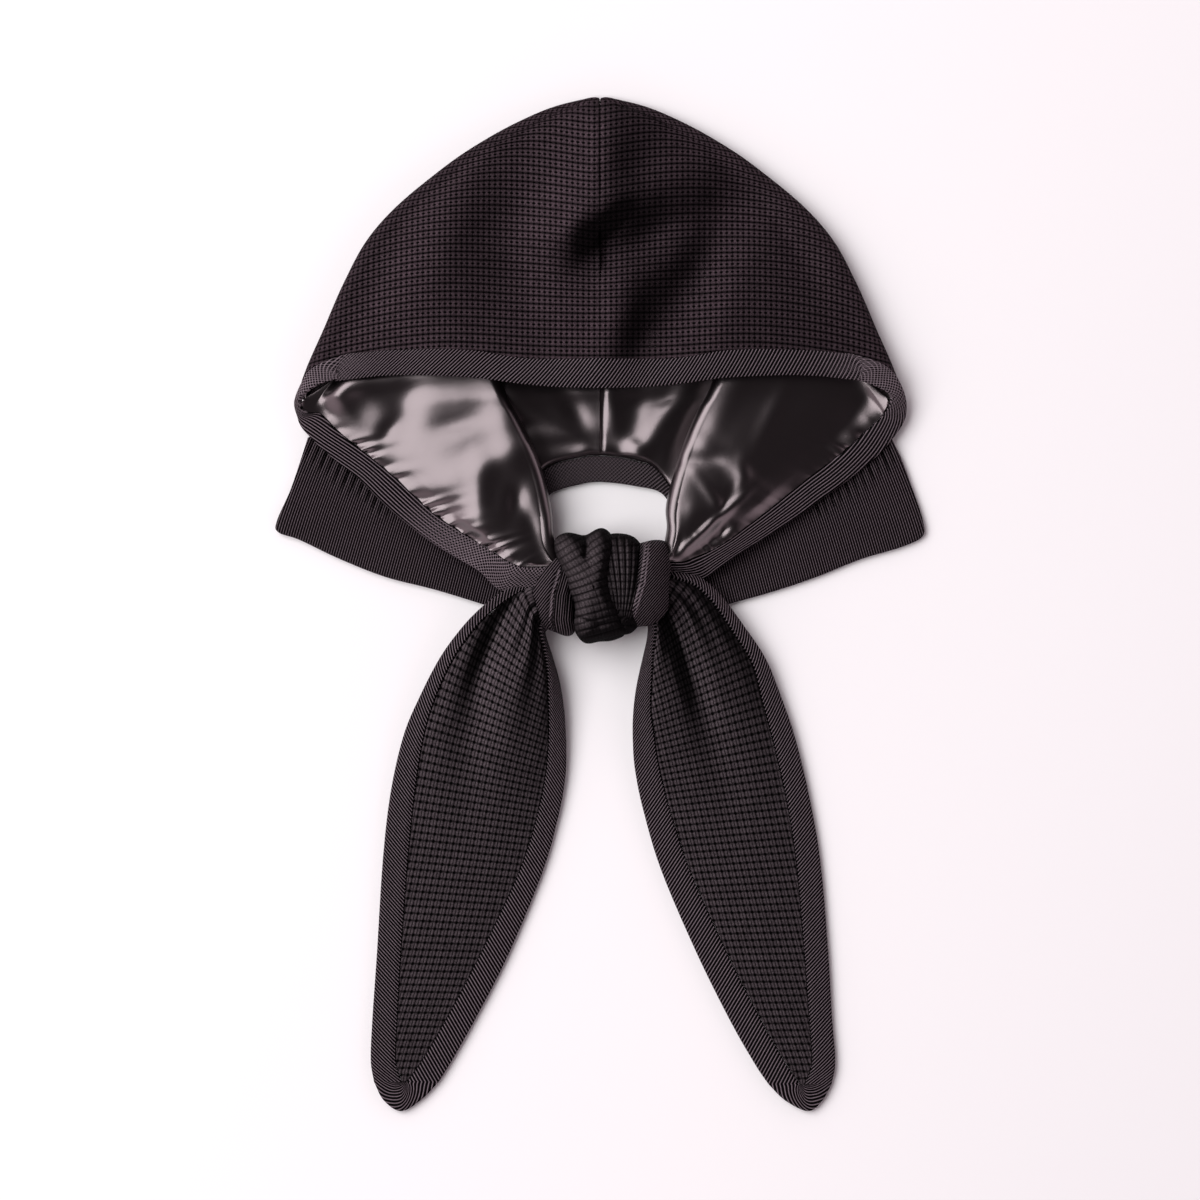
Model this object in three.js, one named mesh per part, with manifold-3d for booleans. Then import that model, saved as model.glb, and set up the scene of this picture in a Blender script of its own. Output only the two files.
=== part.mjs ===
// Hooded scarf, lying on its back with its two ties knotted in front.
// Millimetres, +Z up, +Y toward the crown, origin on the floor under the middle of the outline.
//
// The hood is a flattened bag: a front layer, a fold down each side and a back layer on the floor.
// Its face edge runs over the forehead, round the two corners and down both cheeks to the knot.

import * as THREE from 'three';
import { mergeVertices } from 'three/addons/utils/BufferGeometryUtils.js';
import Module from 'manifold-3d';

// ---------- driving dimensions ----------

const GAP = 0.3; // clearance between neighbouring pieces
const LAYER_GAP = 0.5; // clearance between two layers of cloth lying on each other
const KNIT = 2.0; // waffle knit wall of the hood
const SATIN = 1.0; // satin lining wall
const CHEEK = 1.5; // satin cheek panel with its backing
const RIBBED = 2.4; // ribbed knit flap
const BINDING = 3.2; // folded twill binding, through its thickness
const TAIL = 3.0; // doubled waffle knit of the tie ends

const LINING_INSET = KNIT + LAYER_GAP + SATIN / 2; // outer face of the hood to middle of the lining
const LINING_FIRST_ROW = 3; // above this row the hood closes on itself and has no lining
const APEX_Y = 252.9; // point of the hood
const SEAM_X = GAP / 2; // each half stops this far from the centre seam
const FOLD_START = 140; // on the front layer, the place where the side fold begins
const FOLD_LENGTH = 12; // places counted round the side fold, 180 degrees in all

// ---------- tables ----------

// Hood by distance up the body: half width, height of the front layer at the seam, depth of the side fold.
const HOOD = table(
  [20, 60, 99, 115, 137, 160, 182, 197, 212, 227, 242, 249, APEX_Y],
  ['half', 'crown', 'fold'],
  [
    [150, 32, 14],
    [150, 32, 14],
    [152.3, 32, 14],
    [147.5, 31, 13.6],
    [138, 29, 13],
    [128, 26, 12.4],
    [116, 23, 11.6],
    [103, 20, 10.8],
    [85.5, 17, 10],
    [65, 14, 9],
    [38, 10.5, 7.6],
    [20.5, 7.5, 6],
    [4.5, 4.4, 4.4],
  ],
);

// Forehead edge by place across the front layer, then round the side fold: the y of the seam
// where the binding is sewn on, and the y of the binding's free edge.
const FOREHEAD = table(
  [0, 20, 40, 60, 80, 100, 120, 140, 143, 146, 149, 152],
  ['sewn', 'free'],
  [
    [121.7, 107.0],
    [121.3, 107.5],
    [121.8, 109.3],
    [125.0, 112.0],
    [126.4, 113.2],
    [126.0, 113.6],
    [124.9, 112.0],
    [119.4, 107.0],
    [115.0, 103.5],
    [109.0, 98.0],
    [102.0, 92.0],
    [98.0, 90.0],
  ],
);

// Lower edge of the back layer by distance from the centre, under the cheek; the neck hole is cut
// out of it afterwards.
const BACK_EDGE = table(
  [0, 50, 64, 80, 100, 120, 135, 145],
  ['y'],
  [[30], [30], [31], [39], [55], [74], [88.5], [98]],
);

// Cheek stretches of the face binding, from the knot out to the corner: free edge, then sewn edge.
const CHEEK_EDGE_LEFT = [
  [-33.5, 13.8, 17.0, -31.0, 18.5, 18.5],
  [-41.0, 11.6, 15.0, -38.0, 18.0, 17.5],
  [-50.0, 9.4, 13.5, -44.0, 20.0, 16.5],
  [-60.0, 16.0, 11.5, -54.0, 26.0, 14.5],
  [-70.0, 22.0, 10.0, -63.5, 32.0, 13.0],
  [-80.0, 28.0, 9.0, -73.0, 38.0, 12.0],
  [-90.0, 35.0, 8.0, -82.0, 44.0, 11.0],
  [-100.0, 43.0, 7.2, -91.0, 52.0, 10.0],
  [-110.0, 52.0, 6.6, -101.0, 61.5, 9.2],
  [-120.0, 62.0, 6.0, -111.5, 70.5, 8.5],
  [-130.0, 70.0, 5.5, -121.5, 78.5, 8.0],
  [-140.0, 78.5, 5.2, -131.5, 86.5, 7.5],
  [-149.0, 88.0, 4.9, -139.5, 94.5, 7.0],
];
const CHEEK_EDGE_RIGHT = [
  [34.5, 18.3, 17.0, 33.5, 22.0, 18.5],
  [45.0, 16.3, 14.5, 42.5, 21.6, 17.0],
  [51.5, 15.0, 13.0, 47.0, 23.3, 16.0],
  [60.0, 18.3, 11.5, 54.5, 26.0, 14.5],
  [70.0, 25.3, 10.0, 64.0, 31.5, 13.0],
  [80.0, 31.3, 9.0, 73.5, 38.5, 12.0],
  [90.0, 37.8, 8.0, 83.5, 46.0, 11.0],
  [100.0, 44.3, 7.2, 93.5, 54.0, 10.0],
  [110.0, 51.8, 6.6, 103.5, 62.0, 9.2],
  [120.0, 58.8, 6.0, 113.0, 69.0, 8.5],
  [130.0, 66.8, 5.5, 122.5, 76.5, 8.0],
  [140.0, 75.3, 5.2, 131.5, 84.6, 7.5],
  [148.5, 85.5, 4.9, 140.5, 93.0, 7.0],
];

// Cheek panels by row of their sewn edge: a point half way across, the outermost point of the
// inner fold with its top height, and the radius that the cloth turns under with.
const CHEEK_ROWS = [0.5, 2, 4, 6, 8, 10, 11, 12];
const CHEEK_COLUMNS = ['midX', 'midY', 'midZ', 'foldX', 'foldY', 'foldZ', 'turn'];
const CHEEK_LEFT = table(CHEEK_ROWS, CHEEK_COLUMNS, [
  [-28, 21.5, 20.0, -23.5, 24, 21, 6.0],
  [-33, 28.0, 20.0, -23.0, 33, 21, 6.0],
  [-43, 41.0, 19.5, -24.0, 46, 20, 6.0],
  [-55, 56.0, 18.5, -27.5, 62, 19, 5.5],
  [-68, 74.0, 17.0, -33.5, 79, 18, 5.5],
  [-82, 92.0, 15.0, -41.5, 95, 17, 5.5],
  [-89, 101.0, 13.5, -46.5, 104, 16, 5.5],
  [-104, 126.0, 9.5, -58.0, 130, 14, 4.5],
]);
const CHEEK_RIGHT = table(CHEEK_ROWS, CHEEK_COLUMNS, [
  [37.5, 24.3, 20.0, 35.3, 27, 21, 6.0],
  [41, 30.5, 20.0, 33.3, 37, 21, 6.0],
  [48, 41.5, 19.5, 32.8, 48, 20, 6.0],
  [60, 56.0, 18.5, 36.0, 62.5, 19, 5.5],
  [73, 74.0, 17.0, 42.0, 81, 18, 5.5],
  [86, 91.0, 15.0, 49.5, 98, 17, 5.5],
  [93, 101.0, 13.5, 54.5, 107, 16, 5.5],
  [106, 126.0, 9.5, 64.0, 130, 14, 4.5],
]);

// Neck flaps, from the corner down to the knot: hidden edge under the binding, then outer edge.
const FLAP_COLUMNS = ['innerX', 'innerY', 'outerX', 'outerY'];
const FLAP_LEFT = table(null, FLAP_COLUMNS, [
  [-139, 84.5, -146.0, 83.0],
  [-131, 76.0, -150.0, 70.5],
  [-121, 67.0, -155.0, 56.0],
  [-112, 58.0, -161.4, 41.5],
  [-105, 52.0, -160.9, 35.7],
  [-98, 45.0, -150.0, 31.7],
  [-86, 36.0, -130.0, 22.2],
  [-75, 28.0, -107.0, 13.2],
  [-64, 21.5, -80.0, 6.2],
  [-52, 13.0, -58.0, 0.2],
]);
const FLAP_RIGHT = table(null, FLAP_COLUMNS, [
  [139, 82.0, 146.0, 82.0],
  [132, 74.0, 150.5, 72.5],
  [123, 65.0, 155.5, 59.0],
  [113, 56.0, 161.2, 42.0],
  [106, 51.0, 161.1, 33.5],
  [99, 45.5, 150.0, 28.0],
  [88, 38.0, 130.0, 22.0],
  [77, 30.5, 107.0, 12.8],
  [66, 24.0, 82.0, 4.6],
  [54, 16.5, 62.0, 0.4],
]);

// Nape binding from left to right: inner edge at the neck hole, then sewn edge.
const NAPE_LAST = 8; // last row of this table
const NAPE = table(null, ['holeX', 'holeY', 'sewnX', 'sewnY'], [
  [-37, 27.0, -48.5, 28.5],
  [-31.5, 42.0, -41.0, 47.5],
  [-25, 54.5, -28.0, 66.7],
  [-10, 59.5, -10.0, 72.8],
  [1, 60.7, 1.0, 73.8],
  [18, 58.6, 18.0, 71.3],
  [31, 54.8, 29.0, 66.2],
  [38, 42.0, 41.0, 47.5],
  [41, 27.0, 48.5, 28.5],
]);

// Tie ends from the knot to just short of the tip: outer edge, inner edge, width of the binding
// along each, height of the edges, rise of the middle, and depth and place of the deep fold.
const TAIL_COLUMNS = [
  'outX', 'outY', 'inX', 'inY', 'outBind', 'inBind', 'edge', 'rise', 'fold', 'foldAt',
];
const TAIL_LEFT = table(null, TAIL_COLUMNS, [
  [-29.0, 13.0, -27.0, -12.0, 3.0, 4.0, 10.0, 9.0, 3.0, 0.25],
  [-40.0, 10.4, -28.5, -16.0, 4.0, 5.0, 9.5, 11.0, 6.0, 0.25],
  [-50.0, 5.0, -24.5, -28.0, 4.5, 6.0, 9.0, 11.0, 8.0, 0.32],
  [-60.0, -3.0, -21.0, -39.0, 4.8, 7.5, 8.0, 11.0, 8.0, 0.36],
  [-70.0, -14.0, -19.0, -48.0, 5.2, 8.5, 6.5, 10.0, 7.0, 0.4],
  [-80.0, -28.0, -17.7, -60.0, 6.0, 9.0, 5.0, 9.0, 5.5, 0.42],
  [-90.0, -47.0, -17.0, -74.0, 7.5, 9.5, 3.6, 7.0, 3.5, 0.44],
  [-98.0, -66.0, -17.6, -88.0, 10.0, 10.0, 2.6, 5.0, 2.0, 0.45],
  [-104.5, -94.0, -21.0, -107.0, 12.0, 10.5, 2.0, 3.0, 0.8, 0.45],
  [-108.5, -128.0, -29.0, -135.0, 12.5, 11.5, 1.6, 2.0, 0.0, 0.5],
  [-111.5, -175.0, -46.5, -177.0, 12.0, 14.0, 1.6, 1.2, 0.0, 0.5],
  [-113.8, -208.0, -63.0, -209.0, 12.5, 14.5, 1.6, 0.8, 0.0, 0.5],
  [-114.6, -228.0, -74.0, -228.5, 12.5, 15.0, 1.6, 0.4, 0.0, 0.5],
  [-113.0, -239.0, -80.5, -239.0, 13.8, 16.2, 1.6, 0.0, 0.0, 0.5],
]);
const TAIL_RIGHT = table(null, TAIL_COLUMNS, [
  [30.0, 17.8, 24.0, -8.0, 3.0, 4.0, 10.0, 9.0, 3.0, 0.3],
  [40.0, 15.6, 25.0, -12.0, 4.0, 5.0, 9.5, 11.0, 6.0, 0.35],
  [50.0, 12.2, 24.3, -19.0, 4.5, 6.0, 9.0, 11.0, 8.0, 0.45],
  [60.0, 3.5, 22.0, -28.0, 5.0, 6.5, 8.0, 11.0, 8.0, 0.5],
  [72.5, -13.0, 18.6, -42.0, 6.0, 8.5, 6.5, 10.0, 7.0, 0.52],
  [82.5, -28.0, 16.8, -56.0, 7.0, 9.5, 5.0, 9.0, 5.0, 0.52],
  [90.0, -46.0, 16.6, -69.0, 9.5, 11.0, 3.6, 7.0, 3.0, 0.52],
  [97.0, -66.0, 17.6, -83.0, 11.0, 12.0, 2.6, 5.0, 1.6, 0.5],
  [104.0, -94.0, 21.6, -103.0, 11.5, 13.0, 2.0, 3.0, 0.8, 0.5],
  [110.0, -128.0, 30.5, -133.0, 12.0, 14.0, 1.6, 2.0, 0.0, 0.5],
  [113.9, -172.0, 47.5, -173.0, 12.0, 15.0, 1.6, 1.2, 0.0, 0.5],
  [116.0, -207.0, 64.5, -207.5, 11.5, 15.5, 1.6, 0.8, 0.0, 0.5],
  [117.6, -229.0, 77.0, -229.5, 11.8, 15.5, 1.6, 0.4, 0.0, 0.5],
  [115.8, -240.0, 84.0, -240.0, 13.6, 15.8, 1.6, 0.0, 0.0, 0.5],
]);
const TIP_LEFT = [[-108.2, -248.2], [-99.5, -253.7], [-89.6, -248.2]];
const TIP_RIGHT = [[111.2, -248.4], [104.0, -253.7], [92.6, -248.4]];

// Turns of the knot: centre, half sizes, and how far each leans, in degrees.
const KNOT_POWER = 2.5;
const KNOT_WRAP = { at: [-6, 8, 23], half: [18.5, 29.5, 19], lean: 9 };
const KNOT_EDGE_LEFT = { at: [-17.5, 3, 18.5], half: [16, 22.5, 15.5], lean: -14 };
const KNOT_PLEATS_RIGHT = { at: [13, 12, 20], half: [16, 21.5, 17], lean: -8 };
const KNOT_EDGE_RIGHT = { at: [20.5, 8.8, 19], half: [14, 22.8, 15], lean: -3 };

const COLOURS = { knit: 0x241b1e, satin: 0x2c262a, twill: 0x221c21, ribbed: 0x1d191c };
const ROUGHNESS = { knit: 0.95, satin: 0.28, twill: 0.85, ribbed: 0.9 };

// ---------- curves through tables ----------

/** A cubic through the values at ascending places, level with its neighbours' mean slope at each. */
function smooth(places, values) {
  const last = places.length - 1;
  const slope = (i) => (values[i + 1] - values[i]) / (places[i + 1] - places[i]);
  const tangent = (i) => (slope(Math.max(i - 1, 0)) + slope(Math.min(i, last - 1))) / 2;
  return (place) => {
    let i = 0;
    while (i < last - 1 && place > places[i + 1]) i += 1;
    const step = places[i + 1] - places[i];
    const f = (place - places[i]) / step;
    const g = 1 - f;
    const ends = (1 + 2 * f) * g * g * values[i] + (1 + 2 * g) * f * f * values[i + 1];
    return ends + step * f * g * (g * tangent(i) - f * tangent(i + 1));
  };
}

/** Turns rows of named columns into one smooth function per column; without places, rows count up. */
function table(places, names, rows) {
  const at = places ?? rows.map((row, i) => i);
  return Object.fromEntries(names.map((name, k) => [name, smooth(at, rows.map((row) => row[k]))]));
}

const mix = (a, b, f) => a + (b - a) * f;

// ---------- closed walls ----------

/** One closed body between two grids of points, stitched round the four edges, faces outward. */
function stitched(upper, lower, rows, columns) {
  const across = columns + 1;
  const offset = upper.length;
  const positions = [...upper, ...lower].flatMap((p) => [p.x, p.y, p.z]);
  const triangles = [];
  const quad = (a, b, c, d) => triangles.push(a, b, c, a, c, d);
  for (let i = 0; i < rows; i += 1) {
    for (let j = 0; j < columns; j += 1) {
      const a = i * across + j;
      const [b, c, d] = [a + 1, a + across + 1, a + across];
      quad(a, b, c, d);
      quad(offset + a, offset + d, offset + c, offset + b);
    }
  }
  for (let i = 0; i < rows; i += 1) {
    const [a, b] = [i * across, (i + 1) * across];
    quad(a, b, offset + b, offset + a);
    quad(b + columns, a + columns, offset + a + columns, offset + b + columns);
  }
  for (let j = 0; j < columns; j += 1) {
    const [a, b] = [j, rows * across + j];
    quad(a + 1, a, offset + a, offset + a + 1);
    quad(b, b + 1, offset + b + 1, offset + b);
  }
  return outward(positions, triangles);
}

/** Builds the geometry, turning every triangle over if the body came out inside out. */
function outward(positions, triangles) {
  const corner = (i) => new THREE.Vector3().fromArray(positions, triangles[i] * 3);
  let volume = 0;
  for (let i = 0; i < triangles.length; i += 3) {
    volume += corner(i).dot(corner(i + 1).cross(corner(i + 2)));
  }
  const index = volume > 0 ? triangles : [...triangles].reverse();
  const geometry = new THREE.BufferGeometry();
  geometry.setAttribute('position', new THREE.Float32BufferAttribute(positions, 3));
  geometry.setIndex(index);
  return geometry;
}

/** Samples surface(s, t) at the nodes of a grid, s down the rows and t across the columns. */
function sampled(surface, rows, columns) {
  const points = [];
  for (let i = 0; i <= rows; i += 1) {
    for (let j = 0; j <= columns; j += 1) points.push(surface(i / rows, j / columns));
  }
  return points;
}

/** Cloth of even thickness on both sides of its middle surface. */
function cloth(surface, rows, columns, thickness) {
  const small = 1e-3;
  const face = (side) => (s, t) => {
    const along = surface(Math.min(s + small, 1), t).sub(surface(Math.max(s - small, 0), t));
    const across = surface(s, Math.min(t + small, 1)).sub(surface(s, Math.max(t - small, 0)));
    const normal = along.cross(across).normalize();
    return surface(s, t).addScaledVector(normal, (side * thickness) / 2);
  };
  return stitched(sampled(face(1), rows, columns), sampled(face(-1), rows, columns), rows, columns);
}

/** Cloth that lies on the floor: its thickness is upright, and it stays above the floor. */
function laid(surface, rows, columns, thickness) {
  const raise = (p, by) => new THREE.Vector3(p.x, p.y, Math.max(p.z + by, 0));
  const upper = (s, t) => raise(surface(s, t), thickness / 2);
  const lower = (s, t) => raise(surface(s, t), -thickness / 2);
  return stitched(sampled(upper, rows, columns), sampled(lower, rows, columns), rows, columns);
}

// ---------- hood ----------

/** Sinking of the front layer: the crease down the seam from the point, and the dimple below it. */
function dent(x, y) {
  const crease = 3.5 * Math.exp(-((x / 9) ** 2)) * THREE.MathUtils.smoothstep(y, 185, 215);
  const dimple = 3.5 * Math.exp(-(((x - 6) / 26) ** 2) - ((y - 185) / 20) ** 2);
  return (crease + dimple) * THREE.MathUtils.smoothstep(APEX_Y - y, 0, 12);
}

/** Point of the hood at a height y, `inset` inside its outer face: place runs out along the front
 *  layer, round the side fold, then `under` (0 to 1) takes it back along the floor to the seam. */
function hoodPoint(side, inset, place, under, y) {
  const radius = HOOD.fold(y) / 2 - inset;
  const slant = Math.hypot(1, HOOD.half(y + 0.5) - HOOD.half(y - 0.5));
  const flat = Math.max(HOOD.half(y) - HOOD.fold(y) / 2 - inset * (slant - 1), 1);
  if (under > 0) return new THREE.Vector3(side * mix(flat, SEAM_X, under), y, inset);
  if (place <= FOLD_START) {
    const out = place / FOLD_START;
    const x = mix(SEAM_X, flat, out);
    const arch = (HOOD.crown(y) - HOOD.fold(y)) * (1 - out * out) ** 1.5;
    const top = HOOD.fold(y) - inset + arch - dent(side * x, y);
    return new THREE.Vector3(side * x, y, top);
  }
  const turn = (Math.PI * (place - FOLD_START)) / FOLD_LENGTH;
  const x = flat + radius * Math.sin(turn);
  return new THREE.Vector3(side * x, y, inset + radius + radius * Math.cos(turn));
}

const HOOD_GRID = { rows: 12, front: 7, fold: 4, back: 6 }; // shared, so the layers stay parallel

/** One half of the hood, or of its lining: s runs from `firstRow` to the lower edge, t across.
 *  `grow` adds that much all round, for cutting a neighbour clear of it. */
function hoodHalf(side, inset, firstRow, thickness, grow = 0) {
  const { rows, front, fold, back } = HOOD_GRID;
  const columns = front + fold + back;
  const surface = (s, t) => {
    const column = t * columns;
    const round = Math.min(Math.max((column - front) / fold, 0), 1);
    const place = (FOLD_START * Math.min(column, front)) / front + FOLD_LENGTH * round;
    const under = Math.max((column - front - fold) / back, 0);
    const backY = BACK_EDGE.y(mix(FOLD_START + 5, 0, under));
    const low = under > 0 ? backY : FOREHEAD.sewn(place) + GAP;
    const down = mix(firstRow / rows, 1, s) ** 1.4;
    return hoodPoint(side, inset, place, under, mix(APEX_Y, low - grow, down));
  };
  return cloth(surface, rows - firstRow, columns, thickness + 2 * grow);
}

// ---------- bindings ----------

/** Face binding as rows of free edge and sewn edge, from the left end at the knot to the right. */
function faceEdgeRows() {
  const places = [0, 20, 40, 60, 80, 100, 120, 140, 143, 146, 149];
  const forehead = (side, place) => {
    const free = hoodPoint(side, KNIT / 2, place, 0, FOREHEAD.free(place));
    const sewn = hoodPoint(side, KNIT / 2, place, 0, FOREHEAD.sewn(place) - GAP);
    return [...free.toArray(), ...sewn.toArray()];
  };
  const left = places.slice(1).reverse().map((place) => forehead(-1, place));
  const right = places.map((place) => forehead(1, place));
  return [...CHEEK_EDGE_LEFT, ...left, ...right, ...[...CHEEK_EDGE_RIGHT].reverse()];
}

const EDGE_COLUMNS = ['freeX', 'freeY', 'freeZ', 'sewnX', 'sewnY', 'sewnZ'];
const FACE_EDGE_ROWS = faceEdgeRows();
const FACE_EDGE = table(null, EDGE_COLUMNS, FACE_EDGE_ROWS);

/** Point across a bound edge: t is 0 at the free edge and 1 at the seam. */
function edgePoint(edge, row, t) {
  const free = new THREE.Vector3(edge.freeX(row), edge.freeY(row), edge.freeZ(row));
  const sewn = new THREE.Vector3(edge.sewnX(row), edge.sewnY(row), edge.sewnZ(row));
  return free.lerp(sewn, t);
}

function faceBinding() {
  const last = FACE_EDGE_ROWS.length - 1;
  const strip = cloth((s, t) => edgePoint(FACE_EDGE, s * last, t), last, 2, BINDING);
  const layers = [-1, 1].flatMap((side) => [
    hoodHalf(side, KNIT / 2, 0, KNIT, GAP),
    hoodHalf(side, LINING_INSET, LINING_FIRST_ROW, SATIN, GAP),
  ]);
  return layers.reduce((left, layer) => cutAway(left, layer), strip);
}

function napeBinding() {
  const surface = (s, t) => {
    const row = s * NAPE_LAST;
    const x = mix(NAPE.holeX(row), NAPE.sewnX(row), t);
    const y = mix(NAPE.holeY(row), NAPE.sewnY(row), t);
    return new THREE.Vector3(x, y, BINDING / 2);
  };
  return laid(surface, 2 * NAPE_LAST, 2, BINDING);
}

/** The neck hole with the room for its binding: a fan from below the nape out to the seam. */
function neckHole() {
  const middle = new THREE.Vector3(0, 20, 0);
  const surface = (s, t) => {
    const row = s * NAPE_LAST;
    const sewn = new THREE.Vector3(NAPE.sewnX(row), NAPE.sewnY(row), 0);
    const reach = 1 + GAP / sewn.distanceTo(middle);
    return middle.clone().lerp(sewn, mix(0.05, reach, t));
  };
  return cloth(surface, 2 * NAPE_LAST, 1, 20);
}

// ---------- cheeks and neck flaps ----------

/** Cheek panel: t crosses from the binding to the inner fold, turns under and runs back outward. */
function cheekPanel(cheek, rowOnEdge) {
  const [crossing, turning, returning] = [7, 4, 1];
  const columns = crossing + turning + returning;
  const surface = (s, t) => {
    const row = mix(12, 0.5, s);
    const edgeRow = rowOnEdge(row);
    const sewn = edgePoint(FACE_EDGE, edgeRow, 1);
    const into = sewn.clone().sub(edgePoint(FACE_EDGE, edgeRow, 0)).normalize();
    const outer = sewn.addScaledVector(into, GAP * 2);
    const middle = new THREE.Vector3(cheek.midX(row), cheek.midY(row), cheek.midZ(row));
    const fold = new THREE.Vector3(cheek.foldX(row), cheek.foldY(row), cheek.foldZ(row));
    const toFold = fold.clone().sub(middle).setZ(0).normalize();
    const radius = cheek.turn(row) - CHEEK / 2;
    const brow = fold.clone().addScaledVector(toFold, -cheek.turn(row));
    brow.z -= CHEEK / 2;
    const column = t * columns;
    if (column <= crossing) {
      const f = column / crossing;
      const crossed = outer.multiplyScalar((1 - f) * (1 - 2 * f));
      return crossed.addScaledVector(middle, 4 * f * (1 - f)).addScaledVector(brow, f * (2 * f - 1));
    }
    const angle = Math.PI * Math.min((column - crossing) / turning, 1);
    const back = Math.max(column - crossing - turning, 0) * 9;
    const reach = radius * Math.sin(angle) - back;
    const point = brow.addScaledVector(toFold, reach);
    point.z += radius * (Math.cos(angle) - 1);
    return point;
  };
  return cloth(surface, 14, columns, CHEEK);
}

function neckFlap(flap) {
  const surface = (s, t) => {
    const row = s * 9;
    const x = mix(flap.innerX(row), flap.outerX(row), t);
    const y = mix(flap.innerY(row), flap.outerY(row), t);
    return new THREE.Vector3(x, y, RIBBED / 2);
  };
  return laid(surface, 18, 3, RIBBED);
}

// ---------- tie ends ----------

const TAIL_LAST = 13; // last row of the tail tables, where the two seams meet
const TAIL_STEPS = 17; // steps along it, the same for panel and binding so that they stay parallel

/** Point of a tie end: row along it, f across it from the outer edge to the inner edge. */
function tailPoint(tail, row, f) {
  const x = mix(tail.outX(row), tail.inX(row), f);
  const y = mix(tail.outY(row), tail.inY(row), f);
  const arch = tail.rise(row) * Math.sin(Math.PI * f) ** 0.8;
  const fold = tail.fold(row) * Math.exp(-(((f - tail.foldAt(row)) / 0.12) ** 2));
  return new THREE.Vector3(x, y, tail.edge(row) + arch - fold);
}

/** Where the seams of the binding cross a row, as fractions across it. */
function seamsOf(tail, row) {
  const width = Math.hypot(tail.inX(row) - tail.outX(row), tail.inY(row) - tail.outY(row));
  return [tail.outBind(row) / width, 1 - tail.inBind(row) / width, GAP / width];
}

function tailPanel(tail) {
  const surface = (s, t) => {
    const row = s * TAIL_LAST;
    const [start, end, gap] = seamsOf(tail, row);
    return tailPoint(tail, row, mix(start + gap, end - gap, t));
  };
  return laid(surface, TAIL_STEPS, 8, TAIL);
}

/** Binding down one edge, round the tip and back up the other edge. */
function tailBinding(tail, tip) {
  const side = TAIL_STEPS;
  const round = 6;
  const total = 2 * side + round;
  const last = TAIL_LAST;
  const tipHeight = tail.edge(last);
  const start = tailPoint(tail, last, 0);
  const end = tailPoint(tail, last, 1);
  const arc = [start.toArray(), ...tip.map(([x, y]) => [x, y, tipHeight]), end.toArray()];
  const tipCurve = table(null, ['x', 'y', 'z'], arc);
  const surface = (s, t) => {
    const step = s * total;
    if (step > side && step < side + round) {
      const f = (step - side) / round;
      const edge = new THREE.Vector3(tipCurve.x(f * 4), tipCurve.y(f * 4), tipHeight);
      const [outSeam, inSeam] = seamsOf(tail, last);
      return edge.lerp(tailPoint(tail, last, mix(outSeam, inSeam, f)), t);
    }
    const back = step >= side + round;
    const row = (last * (back ? total - step : step)) / side;
    const [outSeam, inSeam] = seamsOf(tail, row);
    return tailPoint(tail, row, back ? mix(1, inSeam, t) : outSeam * t);
  };
  return laid(surface, total, 2, TAIL + 0.4);
}

// ---------- knot ----------

/** One turn of the knot: a plump body, squarer than an egg by `KNOT_POWER`, leaning to its side. */
function knotTurn({ at, half, lean }, grow = 0) {
  const geometry = new THREE.SphereGeometry(1, 22, 12);
  const points = geometry.attributes.position;
  for (let i = 0; i < points.count; i += 1) {
    const p = [points.getX(i), points.getY(i), points.getZ(i)];
    const reach = p.reduce((sum, c) => sum + Math.abs(c) ** KNOT_POWER, 0) ** (-1 / KNOT_POWER);
    points.setXYZ(i, ...p.map((c) => c * reach));
  }
  geometry.rotateX(Math.PI / 2);
  geometry.scale(half[0] + grow, half[1] + grow, half[2] + grow);
  geometry.rotateZ(THREE.MathUtils.degToRad(lean));
  geometry.translate(...at);
  return geometry;
}

const wasm = await Module();
wasm.setup();

function toSolid(geometry) {
  const bare = geometry.clone();
  bare.deleteAttribute('normal');
  bare.deleteAttribute('uv');
  const merged = mergeVertices(bare, 1e-4);
  const vertProperties = merged.attributes.position.array;
  const triVerts = new Uint32Array(merged.index.array);
  return new wasm.Manifold(new wasm.Mesh({ numProp: 3, vertProperties, triVerts }));
}

function fromSolid(solid) {
  const { vertProperties, triVerts } = solid.getMesh();
  const geometry = new THREE.BufferGeometry();
  geometry.setAttribute('position', new THREE.BufferAttribute(vertProperties, 3));
  geometry.setIndex(new THREE.BufferAttribute(triVerts, 1));
  return geometry;
}

const cutAway = (geometry, tool) => fromSolid(toSolid(geometry).subtract(toSolid(tool)));

/** Cuts a piece back so that it stops a gap short of the named turns of the knot. */
function clearOf(geometry, ...turns) {
  return turns.reduce((left, turn) => cutAway(left, knotTurn(turn, GAP)), geometry);
}

// ---------- the scarf ----------

const scarf = new THREE.Group();
scarf.name = 'hooded_scarf';

function add(name, finish, geometry) {
  const material = new THREE.MeshStandardMaterial({
    color: COLOURS[finish],
    roughness: ROUGHNESS[finish],
    metalness: 0,
  });
  const mesh = new THREE.Mesh(geometry, material);
  mesh.name = name;
  scarf.add(mesh);
}

const ALL_TURNS = [KNOT_WRAP, KNOT_EDGE_LEFT, KNOT_PLEATS_RIGHT, KNOT_EDGE_RIGHT];
const lastEdgeRow = FACE_EDGE_ROWS.length - 1;

const SIDES = [
  { name: 'left', side: -1, cheek: CHEEK_LEFT, flap: FLAP_LEFT, tail: TAIL_LEFT, tip: TIP_LEFT },
  { name: 'right', side: 1, cheek: CHEEK_RIGHT, flap: FLAP_RIGHT, tail: TAIL_RIGHT, tip: TIP_RIGHT },
];

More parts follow.
